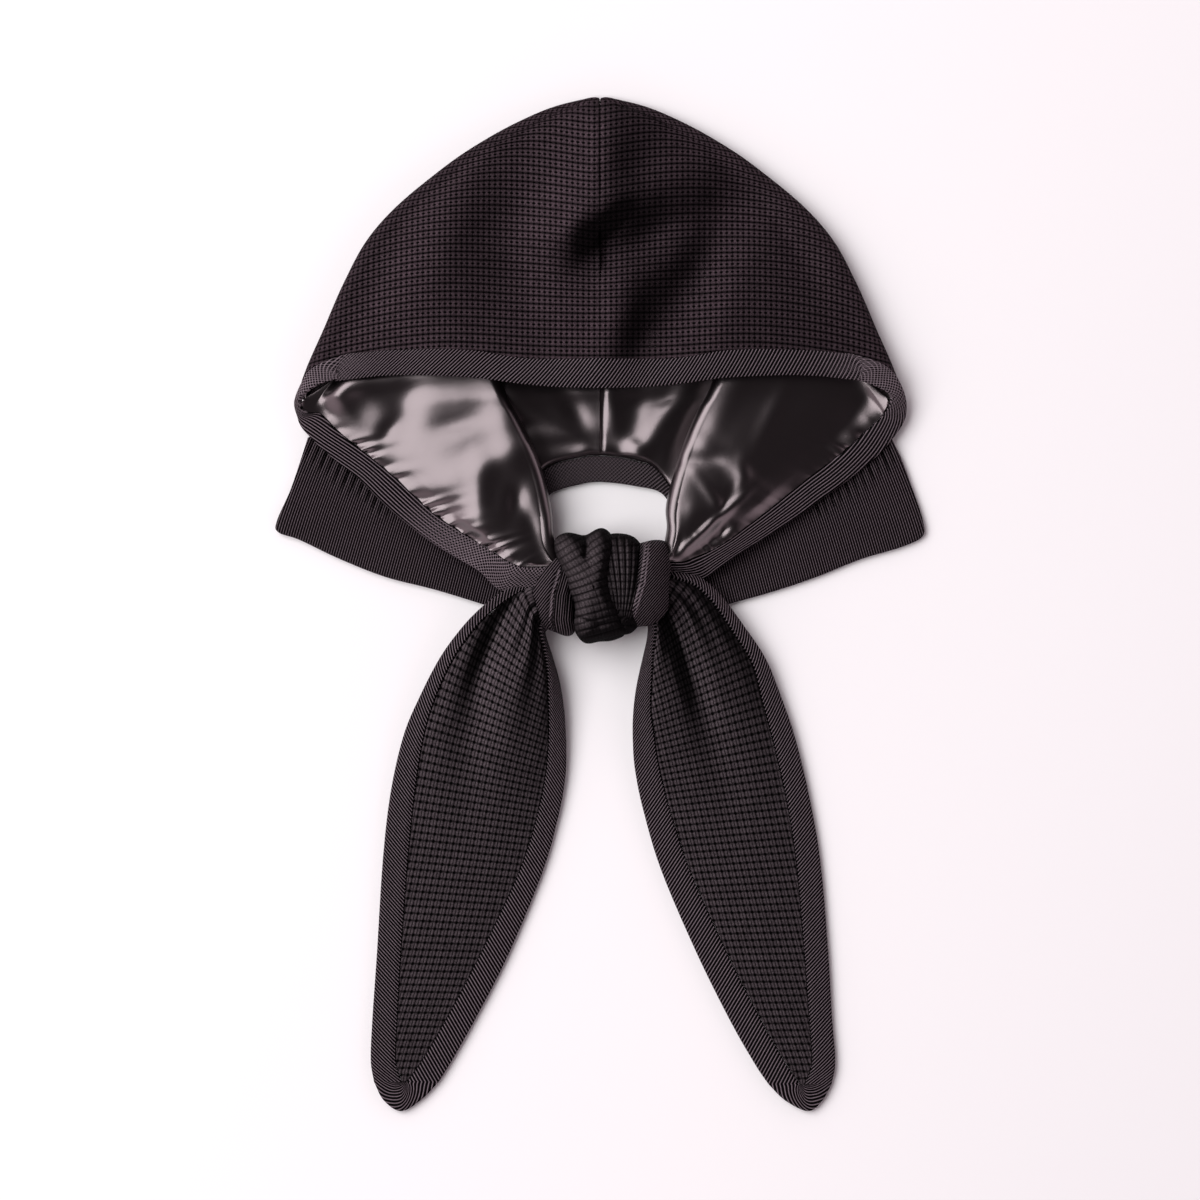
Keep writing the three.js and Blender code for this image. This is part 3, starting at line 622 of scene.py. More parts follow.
# %% [markdown]
# ## The bindings
#
# A binding is a folded strip of twill sewn over an edge. A flat ribbon would look like paint;
# here a plump section, a rounded rectangle with a line of stitching sunk near its seam, is
# carried along the edge. The count of twill ribs crossed on the way is kept at each point, so
# the ribs can run slantwise over the forehead and lengthwise down the cheeks.

# %% Sections carried along an edge
SECTION_POINTS = 30
RIB = 1.32  # from one twill rib to the next


def section(power):
    """A rounded rectangle as fractions across and of the height, an ellipse of high power."""
    angle = np.linspace(0, 2 * np.pi, SECTION_POINTS + 1) + np.pi
    cosine, sine = np.cos(angle), np.sin(angle)
    across = 0.5 + 0.5 * np.sign(cosine) * np.abs(cosine) ** (2 / power)
    return across, -0.5 * np.sign(sine) * np.abs(sine) ** (2 / power)


def carry(name, material, free, sewn, thickness, ribs, mesh, stitch, power=5.0):
    """Carries the section along two edges, the free one and the sewn one, and caps both ends.
    `ribs(along, across)` counts twill ribs; the stitching is sunk `stitch` from the seam."""
    shell = Shell()
    across, height = section(power)
    middle = (free + sewn) / 2
    width_way = unit(sewn - free)
    width = np.linalg.norm(sewn - free, axis=-1)[:, None]
    up = unit(np.cross(np.gradient(middle, axis=0), width_way))
    up = up * np.sign(up[:, 2].sum())
    along = np.r_[0, np.cumsum(np.linalg.norm(np.diff(middle, axis=0), axis=-1))][:, None]
    from_seam = (1 - across) * width
    sunk = 0.45 * np.exp(-(((from_seam - stitch) / 0.4) ** 2)) * (height > 0)
    raised = height * thickness - sunk
    points = mix(free[:, None], sewn[:, None], across[:, None]) + up[:, None] * raised[..., None]
    points[..., 2] = np.maximum(points[..., 2], 0)
    v = across * width
    mesh = np.broadcast_to(mesh, along.shape[:1])[:, None]
    grid = shell.patch(points, along, v, ribs(along, v), mesh)
    shell.span(grid)
    for ring, centre in ((grid[0, ::-1], middle[:1]), (grid[-1], middle[-1:])):
        spot = np.full(len(ring) - 1, shell.patch(centre, 0, 0)[0])
        shell.triangles.append(np.stack([ring[:-1], ring[1:], spot], axis=-1))
    return shell.build(name, material)


def slantwise(along, across):
    """Ribs that climb at 45 degrees."""
    return (along - across) * math.sqrt(0.5) / RIB


# %% [markdown]
# ## The face binding
#
# One strip runs from the knot up the left cheek, round the corner, across the forehead and down
# the right cheek to the knot again. Its two edges are a table of places.

# %% Build the face binding
BINDING = 3.2
EDGES = "outerX outerY outerZ innerX innerY innerZ"
CHEEK_EDGE_LEFT = [
    [-27, 6, 8, -24, 18.5, 17], [-40, 7, 7.5, -36.5, 18, 16.5],
    [-50, 7, 7.5, -44, 20, 16], [-60, 16, 11.5, -54, 26, 14.5],
    [-70, 22, 10, -63.5, 32, 13], [-80, 28, 9, -73, 38, 12],
    [-90, 35, 8, -82, 44, 11], [-100, 43, 7.2, -91, 52, 10],
    [-110, 52, 6.6, -101, 61.5, 9.2], [-120, 62, 6, -111.5, 70.5, 8.5],
    [-130, 70, 5.5, -121.5, 78.5, 8], [-140, 78.5, 5.2, -131.5, 86.5, 7.5],
    [-149, 88, 4.9, -139.5, 94.5, 7],
]
CHEEK_EDGE_RIGHT = [
    [31, 11, 8, 31, 21, 16.5], [43.5, 12.5, 7.5, 41.5, 21, 16.5],
    [51.5, 12.5, 7.5, 47, 23, 15.5], [60, 18.3, 11.5, 54.5, 26, 14.5],
    [70, 25.3, 10, 64, 31.5, 13], [80, 31.3, 9, 73.5, 38.5, 12],
    [90, 37.8, 8, 83.5, 46, 11], [100, 44.3, 7.2, 93.5, 54, 10],
    [110, 51.8, 6.6, 103.5, 62, 9.2], [120, 58.8, 6, 113, 69, 8.5],
    [130, 66.8, 5.5, 122.5, 76.5, 8], [140, 75.3, 5.2, 131.5, 84.6, 7.5],
    [148.5, 85.5, 4.9, 140.5, 93, 7],
]
CORNER_LEFT = [
    [-151.2, 94.6, 4.9, -146.4, 95.6, 8], [-151.8, 99.4, 5.6, -149.6, 99.8, 9.5],
    [-150.7, 104.2, 7.2, -148.6, 103.2, 11.5], [-148.6, 109.8, 9.2, -144.6, 106.6, 13.2],
    [-145.8, 115.2, 11.2, -138, 110, 14.2], [-139.4, 119.6, 13.6, -129, 112.2, 14.8],
]
CORNER_RIGHT = [
    [152.2, 92.2, 4.9, 142.8, 96.4, 8.5], [152.9, 98.4, 5.8, 144.6, 99.8, 10],
    [152, 103.8, 7.4, 145, 103, 11.5], [149.8, 109.4, 9.4, 142.6, 105.6, 13.2],
    [146.2, 115.2, 11.4, 137, 108.4, 14.2], [139.8, 119.8, 13.6, 128, 111.6, 14.8],
]
FOREHEAD_PLACES = range(0, 131, 10)


def hood_place(side, place, y, inset):
    """Point of the hood at a place across the front or round the roll, and at y."""
    q = place / FRONT_END if place <= FRONT_END else 1 + (place - FRONT_END) / ROLL_PLACES
    share = rim_length_at(y) / low_length(np.array(q), side)
    return layer(side, np.array(q), share, inset)


def face_edge_rows():
    """Rows of outer and inner edge from the left end at the knot round to the right end."""
    def forehead(side, place):
        """One row: the seam is the outer edge here, and the free edge the inner one."""
        sewn = hood_place(side, place, FOREHEAD.sewn(place) + GAP, KNIT / 2)
        free = hood_place(side, place, FOREHEAD.free(place), KNIT / 2)
        return [*sewn, *free]

    left = [forehead(-1, place) for place in FOREHEAD_PLACES[:0:-1]]
    right = [forehead(1, place) for place in FOREHEAD_PLACES]
    return [*CHEEK_EDGE_LEFT, *CORNER_LEFT, *left,
            *right, *CORNER_RIGHT[::-1], *CHEEK_EDGE_RIGHT[::-1]]


FACE_ROWS = face_edge_rows()
FACE_EDGE = table(None, EDGES, FACE_ROWS)
FACE_LAST = len(FACE_ROWS) - 1
CORNER_ROW = 16.5  # row of the table at the tip of a corner, counted from either end


def face_edge(row, edge):
    """Point of the outer or of the inner edge of the face binding at a row."""
    return point(*(getattr(FACE_EDGE, edge + axis)(row) for axis in "XYZ"))


def on_forehead(row):
    """1 on the forehead, falling to 0 along the cheeks."""
    return ease(row, 8, 18) * ease(FACE_LAST - row, 8, 18)


def face_binding(name, material):
    """The strip, with ribs slantwise on the forehead and lengthwise on the cheeks."""
    row = np.linspace(0, FACE_LAST, 1000)
    outer, inner = face_edge(row, "outer"), face_edge(row, "inner")
    front = on_forehead(row)[:, None]
    step = np.r_[0, np.linalg.norm(np.diff((outer + inner) / 2, axis=0), axis=-1)][:, None]
    run = np.cumsum(step * front, axis=0) * math.sqrt(0.5)
    width = np.linalg.norm(inner - outer, axis=-1)[:, None]

    def ribs(along, across):
        """Ribs crossed along the forehead, and across the tape as if it were 11 mm wide."""
        return (run + 11 * across / width * mix(1.0, math.sqrt(0.5), front)) / RIB

    corners = sum(np.exp(-(((at - CORNER_ROW) / 2.4) ** 2)) for at in (row, FACE_LAST - row))
    mesh = 1 - ease(row, 2.5, 7.5) + 0.95 * corners
    return carry(name, material, outer, inner, BINDING, ribs, mesh, stitch=0.9, power=3.6)


def nape_binding(name, material):
    """The strip round the top of the neck hole, lying on the floor."""
    row = np.linspace(0, NAPE_LAST, 240)
    free = point(NAPE.holeX(row), NAPE.holeY(row), BINDING / 2)
    sewn = point(NAPE.sewnX(row), NAPE.sewnY(row), BINDING / 2)
    return carry(name, material, free, sewn, BINDING, slantwise, 0.35, stitch=1.6)


# %% [markdown]
# ## The satin cheeks
#
# Each cheek is a panel of satin sewn into the face binding. It rises from the binding to a soft
# inner fold, turns under there and runs back a little. The seam gathers it into puckers,
# and waves of many sizes lie across it, in tables that a fitting program made. The panel is a
# parabola through three points on each of its rows, then a half circle. The waves are added to
# its height, and the puckers along its normal.

# %% Build the cheeks
CHEEK = 1.5
CHEEK_PLACES = [0.1, 2, 4, 6, 8, 10, 11, 12, 14]
CHEEK_ROW = 12.3  # along the seam from one row of the tables to the next, about
CHEEK_COLUMNS = "midX midY midZ foldX foldY foldZ turn"
CHEEK_LEFT = table(CHEEK_PLACES, CHEEK_COLUMNS, [
    [-23, 20, 19, -19, 20, 19, 6], [-33, 28, 20, -23, 33, 21, 6],
    [-43, 41, 19.5, -24, 46, 20, 6], [-55, 56, 18.5, -27.5, 62, 19, 5.5],
    [-68, 74, 17, -33.5, 79, 18, 5.5], [-82, 92, 15, -41.5, 95, 17, 5.5],
    [-89, 101, 13.5, -46.5, 104, 16, 5.5], [-104, 126, 9.5, -58, 130, 14, 4.5],
    [-129, 113, 6.5, -80, 134, 7, 3.5],
])
CHEEK_RIGHT = table(CHEEK_PLACES, CHEEK_COLUMNS, [
    [33, 22.5, 19, 30, 22, 19, 6], [41, 30.5, 20, 33.3, 37, 21, 6],
    [48, 41.5, 19.5, 32.8, 48, 20, 6], [60, 56, 18.5, 36, 62.5, 19, 5.5],
    [73, 74, 17, 42, 81, 18, 5.5], [86, 91, 15, 49.5, 98, 17, 5.5],
    [93, 101, 13.5, 54.5, 107, 16, 5.5], [106, 126, 9.5, 64, 130, 14, 4.5],
    [129, 113, 6.5, 84, 134, 7, 3.5],
])
CHEEK_FOLDS_LEFT = [  # x, y, length, width, angle, height; from a fitting program
    [-47, 73, 38, 8.1, 22, 1.8],
    [-46, 94, 25, 9.6, -78, 2.2],
    [-64, 45, 36, 11.4, -56, 1.2],
    [-37, 37, 25, 10.6, -66, -1.7],
    [-131, 105, 20, 10.5, 26, 2],
    [-132, 105, 18, 10.3, 40, 1.9],
    [-105, 112, 33, 4.9, 8, 2.1],
    [-31, 31, 22, 8.8, -78, -1.4],
    [-98, 94, 19, 8.2, 76, -1.5],
    [-30, 32, 27, 5.3, -62, -1.6],
    [-131, 103, 18, 8.2, -84, 1.5],
    [-116, 109, 21, 12.3, -64, 0.8],
    [-58, 36, 11, 13, 32, 1.2],
    [-60, 55, 15, 6.4, 86, 1.6],
    [-71, 90, 16, 5.9, 10, -1.3],
    [-117, 105, 16, 5.8, -36, 1],
    [-66, 39, 14, 6.1, 13, 0.9],
    [-63, 102, 21, 4.2, 3, 0.7],
    [-73, 79, 26, 6.9, 39, 0.3],
    [-76, 45, 7, 6.3, 42, -1.2],
    [-42, 51, 10, 4.7, 76, -1.1],
    [-31, 72, 12, 4.4, -69, 0.9],
    [-106, 86, 7, 3.8, 52, -0.9],
    [-90, 99, 12, 4.3, 13, 0.4],
]
CHEEK_FOLDS_RIGHT = [  # the same columns; from a fitting program
    [51, 57, 39, 12.1, -81, -1.2],
    [128, 93, 34, 16.5, 13, -0.5],
    [126, 94, 28, 17.5, 37, -0.5],
    [76, 112, 36, 7, 4, 0.9],
    [57, 106, 25, 12.6, 32, 0.7],
    [81, 53, 19, 13.4, 43, 0.7],
    [63, 108, 24, 9.6, 23, 0.6],
    [58, 90, 37, 5.8, 64, 0.5],
    [54, 38, 19, 2.4, 42, 2],
    [68, 67, 31, 4.1, -38, 0.7],
    [66, 47, 28, 5.1, 6, 0.6],
    [134, 96, 19, 11.1, 1, -0.4],
    [63, 62, 6, 18.9, 21, -0.7],
    [134, 96, 18, 10.6, -4, -0.4],
    [130, 91, 22, 8, 36, -0.4],
    [135, 99, 18, 9, -62, -0.4],
    [50, 72, 16, 4.2, 5, -0.9],
    [85, 93, 19, 4.7, 64, 0.6],
    [71, 63, 10, 4, 90, 0.9],
    [41, 45, 9, 4.2, 84, -0.7],
    [56, 53, 13, 2.9, -54, 0.7],
    [61, 37, 9, 4.6, 61, -0.6],
    [61, 39, 12, 3.2, -89, -0.6],
    [59, 42, 18, 2.5, 66, -0.5],
    [61, 37, 8, 4.1, 83, -0.5],
    [39, 29, 6, 2.4, 75, -0.9],
]


def cheek_point(cheek, edge_row, row, q):
    """Point of the panel's middle surface. q runs 0 to 1 across to the inner fold, to 2 round
    the half turn and to 3 back underneath."""
    band = face_edge(edge_row, "inner")
    outer = band + unit(band - face_edge(edge_row, "outer")) * 2 * GAP
    middle = point(cheek.midX(row), cheek.midY(row), cheek.midZ(row))
    fold = point(cheek.foldX(row), cheek.foldY(row), cheek.foldZ(row))
    to_fold = unit((fold - middle) * np.array([1.0, 1.0, 0.0]))
    turn = cheek.turn(row)[..., None]
    radius = turn - CHEEK / 2
    brow = fold - to_fold * turn - np.array([0, 0, CHEEK / 2])
    f = np.clip(q, 0, 1)[..., None]
    crossed = outer * (1 - f) * (1 - 2 * f) + middle * 4 * f * (1 - f) + brow * f * (2 * f - 1)
    angle = np.pi * np.clip(q - 1, 0, 1)[..., None]
    back = 9 * np.clip(q - 2, 0, 1)[..., None]
    turned = brow + to_fold * (radius * np.sin(angle) - back)
    turned[..., 2] += (radius * (np.cos(angle) - 1))[..., 0]
    return np.where(q[..., None] <= 1, crossed, turned)


def satin_cheek(side, name, material):
    """The panel with its waves, and puckers that die away from the seam."""
    cheek, waves = (CHEEK_LEFT, CHEEK_FOLDS_LEFT) if side < 0 else (CHEEK_RIGHT, CHEEK_FOLDS_RIGHT)

    def surface(s, t):
        """The panel with its waves, from the corner at s = 0 down to the knot."""
        row = mix(CHEEK_PLACES[-1], CHEEK_PLACES[0], s)
        q = np.interp(t, [0, 0.7, 0.92, 1], [0, 1, 2, 3])
        edge_row = row if side < 0 else FACE_LAST - row
        points = cheek_point(cheek, edge_row, row, q)
        near = ease(q, 0.0, 0.12) * (1 - ease(q, 1.4, 2.0)) * (1 - ease(row, 11.8, 12.8))
        points[..., 2] += folds(points[..., 0], points[..., 1], waves) * near
        return points, row * CHEEK_ROW, q

    def relief(points, u, v, t):
        """Puckers and smaller ones between, as cosines along the seam that die away from it."""
        reach = np.linalg.norm(points - points[:, :1], axis=-1).max(axis=1, keepdims=True)
        from_seam = np.clip(v, 0, 1) * reach
        phase = u / 9.3 + 0.16 * np.sin(u / 6.1) + 0.1 * np.sin(u / 3.3 + 1)
        pucker = np.cos(2 * np.pi * (phase - side * from_seam * 0.028))
        small = np.cos(2 * np.pi * (2.3 * phase + 0.3))
        if side < 0:
            size = mix(0.6, 1.1, ridge(u / 41.0 + 0.1, 1))
        else:
            size = mix(0.25, 1.2, ease(u, 105, 140))
        size = size * ease(u, 10, 40) * (1 - ease(u, 128, 146))
        gathers = pucker * np.exp(-from_seam / 4.5) + 0.3 * small * np.exp(-from_seam / 2.5)
        return size * gathers * ease(-v, -1.0, -0.9)

    return wall(name, material, surface, relief, (190, 150), (50, 40), CHEEK)


# %% [markdown]
# ## The ribbed neck flaps
#
# Behind each cheek a flap of fine rib knit lies on the table. It is gathered into the face
# binding, so short strokes of ruching stand off the seam, and it smooths out toward its hem.

# %% Build the neck flaps
RIBBED = 2.4
FLAP_COLUMNS = "innerX innerY outerX outerY"
FLAP_LEFT = table(None, FLAP_COLUMNS, [
    [-139, 84.5, -146, 83], [-131, 76, -150, 70.5], [-121, 67, -155, 56],
    [-112, 58, -161.4, 41.5], [-105, 52, -160.9, 35.7], [-98, 45, -150, 31.7],
    [-86, 36, -130, 22.2], [-75, 28, -107, 13.2], [-64, 21.5, -80, 6.2],
    [-38, 7, -44, -5],
])
FLAP_RIGHT = table(None, FLAP_COLUMNS, [
    [139, 82, 146, 82], [132, 74, 150.5, 72.5], [123, 65, 155.5, 59],
    [113, 56, 161.2, 42], [106, 51, 161.1, 33.5], [99, 45.5, 150, 28],
    [88, 38, 130, 22], [77, 30.5, 107, 12.8], [66, 24, 82, 4.6],
    [42, 9, 50, -4],
])
FLAP_LAST = 9
FLAP_RIB = 1.27


def ribbed_flap(side, name, material):
    """The flap; its ribs run parallel to its outer side edge."""
    flap = FLAP_LEFT if side < 0 else FLAP_RIGHT
    lean = math.radians(20)
    band_rows = np.linspace(13, 1, 60)
    band = face_edge(band_rows if side < 0 else FACE_LAST - band_rows, "outer")

    def surface(s, t):
        """The flat flap between its two edges; u counts across its ribs."""
        row = s * FLAP_LAST
        x = mix(flap.innerX(row), flap.outerX(row), t)
        y = mix(flap.innerY(row), flap.outerY(row), t)
        turn = lean * mix(1.15, 0.7, s)
        u = side * x * np.cos(turn) + y * np.sin(turn)
        return point(x, y, RIBBED / 2), u, side * x * np.sin(-turn) + y * np.cos(turn)

    def relief(points, u, v, t):
        """Swell, ruching strokes below the binding and the ribs, all gone at the hem."""
        x, y = points[..., 0], points[..., 1]
        below = np.interp(-np.abs(x), -np.abs(band[:, 0]), band[:, 1]) - y
        gathered = ease(np.abs(x), 98, 112) * ease(below, -4, -1)
        reach = mix(7.0, 13.0, ease(np.abs(x), 104, 140)) + 1.5 * np.sin(u / 3.1)
        stroke = np.abs(np.sin(np.pi * (u / 4.4 + 0.15 * np.sin(u / 9)))) ** 0.6 - 0.5
        ruching = 2.8 * stroke * np.exp(-((np.maximum(below, 0) / reach) ** 4)) * gathered
        swell = 0.8 * ease(t, 0, 0.3) * (1 + 0.5 * np.sin(u / 14 + 1))
        ribs = 0.1 * np.cos(2 * np.pi * u / FLAP_RIB)
        return (swell + ruching + ribs) * (1 - ease(t, 0.93, 1))

    return wall(name, material, surface, relief, (420, 60), (60, 12), RIBBED)


# %% [markdown]
# ## The ends of the ties
#
# Below the knot the two ends hang down like long leaves: doubled waffle knit inside a twill
# binding that goes down one edge, round the tip and back up the other. Near the knot the
# cloth is squeezed into a deep fold that opens out lower down. The knit's columns follow the
# middle line of the leaf, and its rows cross it, so the grid is worked out along and across
# that line and each row is trimmed at the two seams.

# %% Build the ends of the ties
TAIL = 3.0
TIE_BINDING = TAIL + 0.8
TAIL_LAST = 13
TAIL_CELL, TAIL_ROW = 3.35, 3.6
TAIL_CELL_STEPS = np.array([0, 0.13, 0.3, 0.5, 0.7, 0.87])
TAIL_ROW_STEPS = np.array([0, 0.12, 0.35, 0.65, 0.88])
TAIL_COLUMNS = "outX outY inX inY outBind inBind edge rise fold foldAt"
TAIL_LEFT = table(None, TAIL_COLUMNS, [
    [-29, 13, -27, -12, 3, 4, 10, 9, 4, 0.2],
    [-40, 10.4, -28.5, -16, 4, 5, 9.5, 11, 8, 0.2],
    [-50, 5, -24.5, -28, 4.5, 6, 9, 11, 10, 0.22],
    [-60, -3, -21, -39, 4.8, 7.5, 8, 11, 10, 0.24],
    [-70, -14, -19, -48, 5.2, 8.5, 6.5, 10, 9, 0.29],
    [-80, -28, -17.7, -60, 6, 9, 5, 9, 7, 0.33],
    [-90, -47, -17, -74, 7.5, 9.5, 3.6, 7, 4.5, 0.37],
    [-98, -66, -17.6, -88, 10, 10, 2.6, 5, 2.5, 0.4],
    [-104.5, -94, -21, -107, 12, 10.5, 2, 3, 0.8, 0.45],
    [-108.5, -128, -29, -135, 12.5, 11.5, 1.6, 2, 0, 0.5],
    [-111.5, -175, -46.5, -177, 12, 14, 1.6, 1.2, 0, 0.5],
    [-113.8, -208, -63, -209, 12.5, 14.5, 1.6, 0.8, 0, 0.5],
    [-114.6, -228, -74, -228.5, 12.5, 15, 1.6, 0.4, 0, 0.5],
    [-113, -239, -80.5, -239, 13.8, 16.2, 1.6, 0, 0, 0.5],
])
TAIL_RIGHT = table(None, TAIL_COLUMNS, [
    [30, 17.8, 24, -8, 3, 4, 10, 9, 4, 0.5],
    [40, 15.6, 25, -12, 4, 5, 9.5, 11, 8, 0.6],
    [50, 12.2, 24.3, -19, 4.5, 6, 9, 11, 10, 0.6],
    [60, 3.5, 22, -28, 5, 6.5, 8, 11, 10, 0.58],
    [72.5, -13, 18.6, -42, 6, 8.5, 6.5, 10, 9, 0.54],
    [82.5, -28, 16.8, -56, 7, 9.5, 5, 9, 7, 0.52],
    [90, -46, 16.6, -69, 9.5, 11, 3.6, 7, 4, 0.5],
    [97, -66, 17.6, -83, 11, 12, 2.6, 5, 2, 0.5],
    [104, -94, 21.6, -103, 11.5, 13, 2, 3, 0.8, 0.5],
    [110, -128, 30.5, -133, 12, 14, 1.6, 2, 0, 0.5],
    [113.9, -172, 47.5, -173, 12, 15, 1.6, 1.2, 0, 0.5],
    [116, -207, 64.5, -207.5, 11.5, 15.5, 1.6, 0.8, 0, 0.5],
    [117.6, -229, 77, -229.5, 11.8, 15.5, 1.6, 0.4, 0, 0.5],
    [115.8, -240, 84, -240, 13.6, 15.8, 1.6, 0, 0, 0.5],
])
TIP_LEFT = [[-108.2, -248.2], [-99.5, -253.7], [-89.6, -248.2]]
TIP_RIGHT = [[111.2, -248.4], [104.0, -253.7], [92.6, -248.4]]


def tail_width(tail, row):
    """Width across a row, edge to edge."""
    return np.hypot(tail.inX(row) - tail.outX(row), tail.inY(row) - tail.outY(row))


def tail_point(tail, row, f):
    """Middle surface: across each row an arch, less one deep fold, with shallow pleats that
    spread from the knot and fade down the leaf."""
    x, y = mix(tail.outX(row), tail.inX(row), f), mix(tail.outY(row), tail.inY(row), f)
    inside = np.clip(f, 0, 1)
    arch = tail.rise(row) * np.sin(np.pi * inside) ** 0.8
    fold = tail.fold(row) * np.exp(-(((f - tail.foldAt(row)) / 0.13) ** 2))
    pleat = 0.9 * np.cos(2 * np.pi * (4.5 * f + 0.2))
    pleat = pleat * (1 - ease(row, 2.0, 7.5)) * np.sin(np.pi * inside)
    return point(x, y, np.maximum(tail.edge(row), TAIL / 2) + arch - fold + pleat)


def tail_seams(tail, row):
    """Where the seams of the binding cross a row, as fractions across it."""
    width = tail_width(tail, row)
    return tail.outBind(row) / width, 1 - tail.inBind(row) / width


def tail_relief(u, v):
    """Minus the depth of the tie's knit: two grooves a column down the leaf, one a row across
    it, deeper where they cross."""
    down, over = ridge(2 * u / TAIL_CELL, 2), ridge(v / TAIL_ROW, 4)
    return -(0.26 * down + 0.2 * over + 0.2 * down * over)


def tie_cloth(side, name, material):
    """The leaf between its seams: fine upper face trimmed at the seams, plain lower face."""
    tail = TAIL_LEFT if side < 0 else TAIL_RIGHT
    steps = np.linspace(0, TAIL_LAST, 800)
    centre = tail_point(tail, steps, np.full(steps.shape, 0.5))[:, :2]
    length = np.r_[0, np.cumsum(np.linalg.norm(np.diff(centre, axis=0), axis=-1))]
    lines = cells(0, length[-1], TAIL_ROW, TAIL_ROW_STEPS)
    lines = np.r_[0, lines[(lines > 0.4) & (lines < length[-1] - 0.4)], length[-1]]
    row = np.interp(lines, length, steps)
    width = tail_width(tail, row)
    start, end = tail_seams(tail, row)
    low, high = (start - 0.5) * width + GAP, (end - 0.5) * width - GAP
    high = np.maximum(high, low + 0.5)
    columns = cells(low.min() - 4, high.max() + 4, TAIL_CELL, TAIL_CELL_STEPS)
    across = np.broadcast_to(columns[:, None], (len(columns), len(lines)))
    across, stand_in, first, last = trim(across, low, high, 0.12)
    f = 0.5 + across / width
    row_grid = np.broadcast_to(row, f.shape)
    base = tail_point(tail, row_grid, f)
    reach = 0.01  # either way from a point, to measure the slope there
    step_across, step_down = (
        tail_point(tail, row_grid + down, f + over) - tail_point(tail, row_grid - down, f - over)
        for down, over in ((0, reach), (reach, 0)))
    normal = unit(np.cross(step_across, step_down))
    normal = normal * np.sign(normal[..., 2:].sum())
    v = np.broadcast_to(lines, f.shape)
    inside = ease(across - low, 0, 1.6) * ease(high - across, 0, 1.6)
    upper = base + point(0, 0, TAIL / 2) + normal * (tail_relief(across, v) * inside)[..., None]
    shell = Shell()
    at = np.arange(len(lines))
    # the last pattern value is painted light and painted shade by how each slope faces the key light
    grid = shell.patch(upper, across, v, 0, painted_light_by_slope(normal))
    used = grid[stand_in, at]
    shell.span(used)

    lower_line, lower_t = np.linspace(0, 1, 61), np.linspace(0, 1, 21)
    lower_row = np.interp(lower_line * length[-1], length, steps)
    lower_low, lower_high = (np.interp(lower_row, row, edge / width) + 0.5 for edge in (low, high))
    f = mix(lower_low, lower_high, lower_t[:, None])
    lower = tail_point(tail, np.broadcast_to(lower_row, f.shape), f) - np.array([0, 0, TAIL / 2])
    lower[..., 2] = np.maximum(lower[..., 2], 0)
    lower = shell.patch(lower, f * 60, lower_line * length[-1])
    shell.span(lower, inner=True)

    at_line = lines / length[-1]
    shell.zip(grid[first, at], at_line, lower[0], lower_line)
    shell.zip(grid[last, at][::-1], 1 - at_line[::-1], lower[-1, ::-1], 1 - lower_line[::-1])
    for column in (-1, 0):
        inside = slice(first[column], last[column] + 1)
        at_across = (across[inside, column] - low[column]) / (high[column] - low[column])
        if column == 0:
            shell.zip(grid[inside, 0][::-1], 1 - at_across[::-1], lower[::-1, 0], 1 - lower_t[::-1])
        else:
            shell.zip(grid[inside, -1], at_across, lower[:, -1], lower_t)
    return shell.build(name, material)


def tie_edge(side, name, material):
    """The binding down the outer edge, round the tip and up the inner edge."""
    tail, tip = (TAIL_LEFT, TIP_LEFT) if side < 0 else (TAIL_RIGHT, TIP_RIGHT)
    row = np.linspace(0, TAIL_LAST, 420)
    start, end = tail_seams(tail, row)
    edges = [tail_point(tail, row, np.full(row.shape, f)) for f in (0.0, 1.0)]
    seams = [tail_point(tail, row, f) for f in (start, end)]
    height = edges[0][-1, 2]
    arc = np.array([edges[0][-1, :2], *tip, edges[1][-1, :2]])
    f = np.linspace(0, 1, 92)[1:-1]
    along_arc = f * (len(arc) - 1)
    round_tip = point(*(smooth(range(len(arc)), axis)(along_arc) for axis in arc.T), height)
    seam_tip = tail_point(tail, np.full(f.shape, float(TAIL_LAST)), mix(start[-1], end[-1], f))
    free = np.concatenate([edges[0], round_tip, edges[1][::-1]])
    sewn = np.concatenate([seams[0], seam_tip, seams[1][::-1]])
    return carry(name, material, free, sewn, TIE_BINDING, slantwise, 0.0, stitch=0.9, power=4.5)


# %% [markdown]
# ## The knot
#
# A tied knot is a band of cloth wound over another. Each turn that shows could be a bent tube,
# but a turn is wide and flat with a folded edge, so it is a pillow: rings from its middle out
# to its own outline, domed so that the edge drops away steeply, with pleats, creases and
# knit worked into its surface along the normal.

# %% Pillows of the knot
KNOT_STEPS = (64, 200)


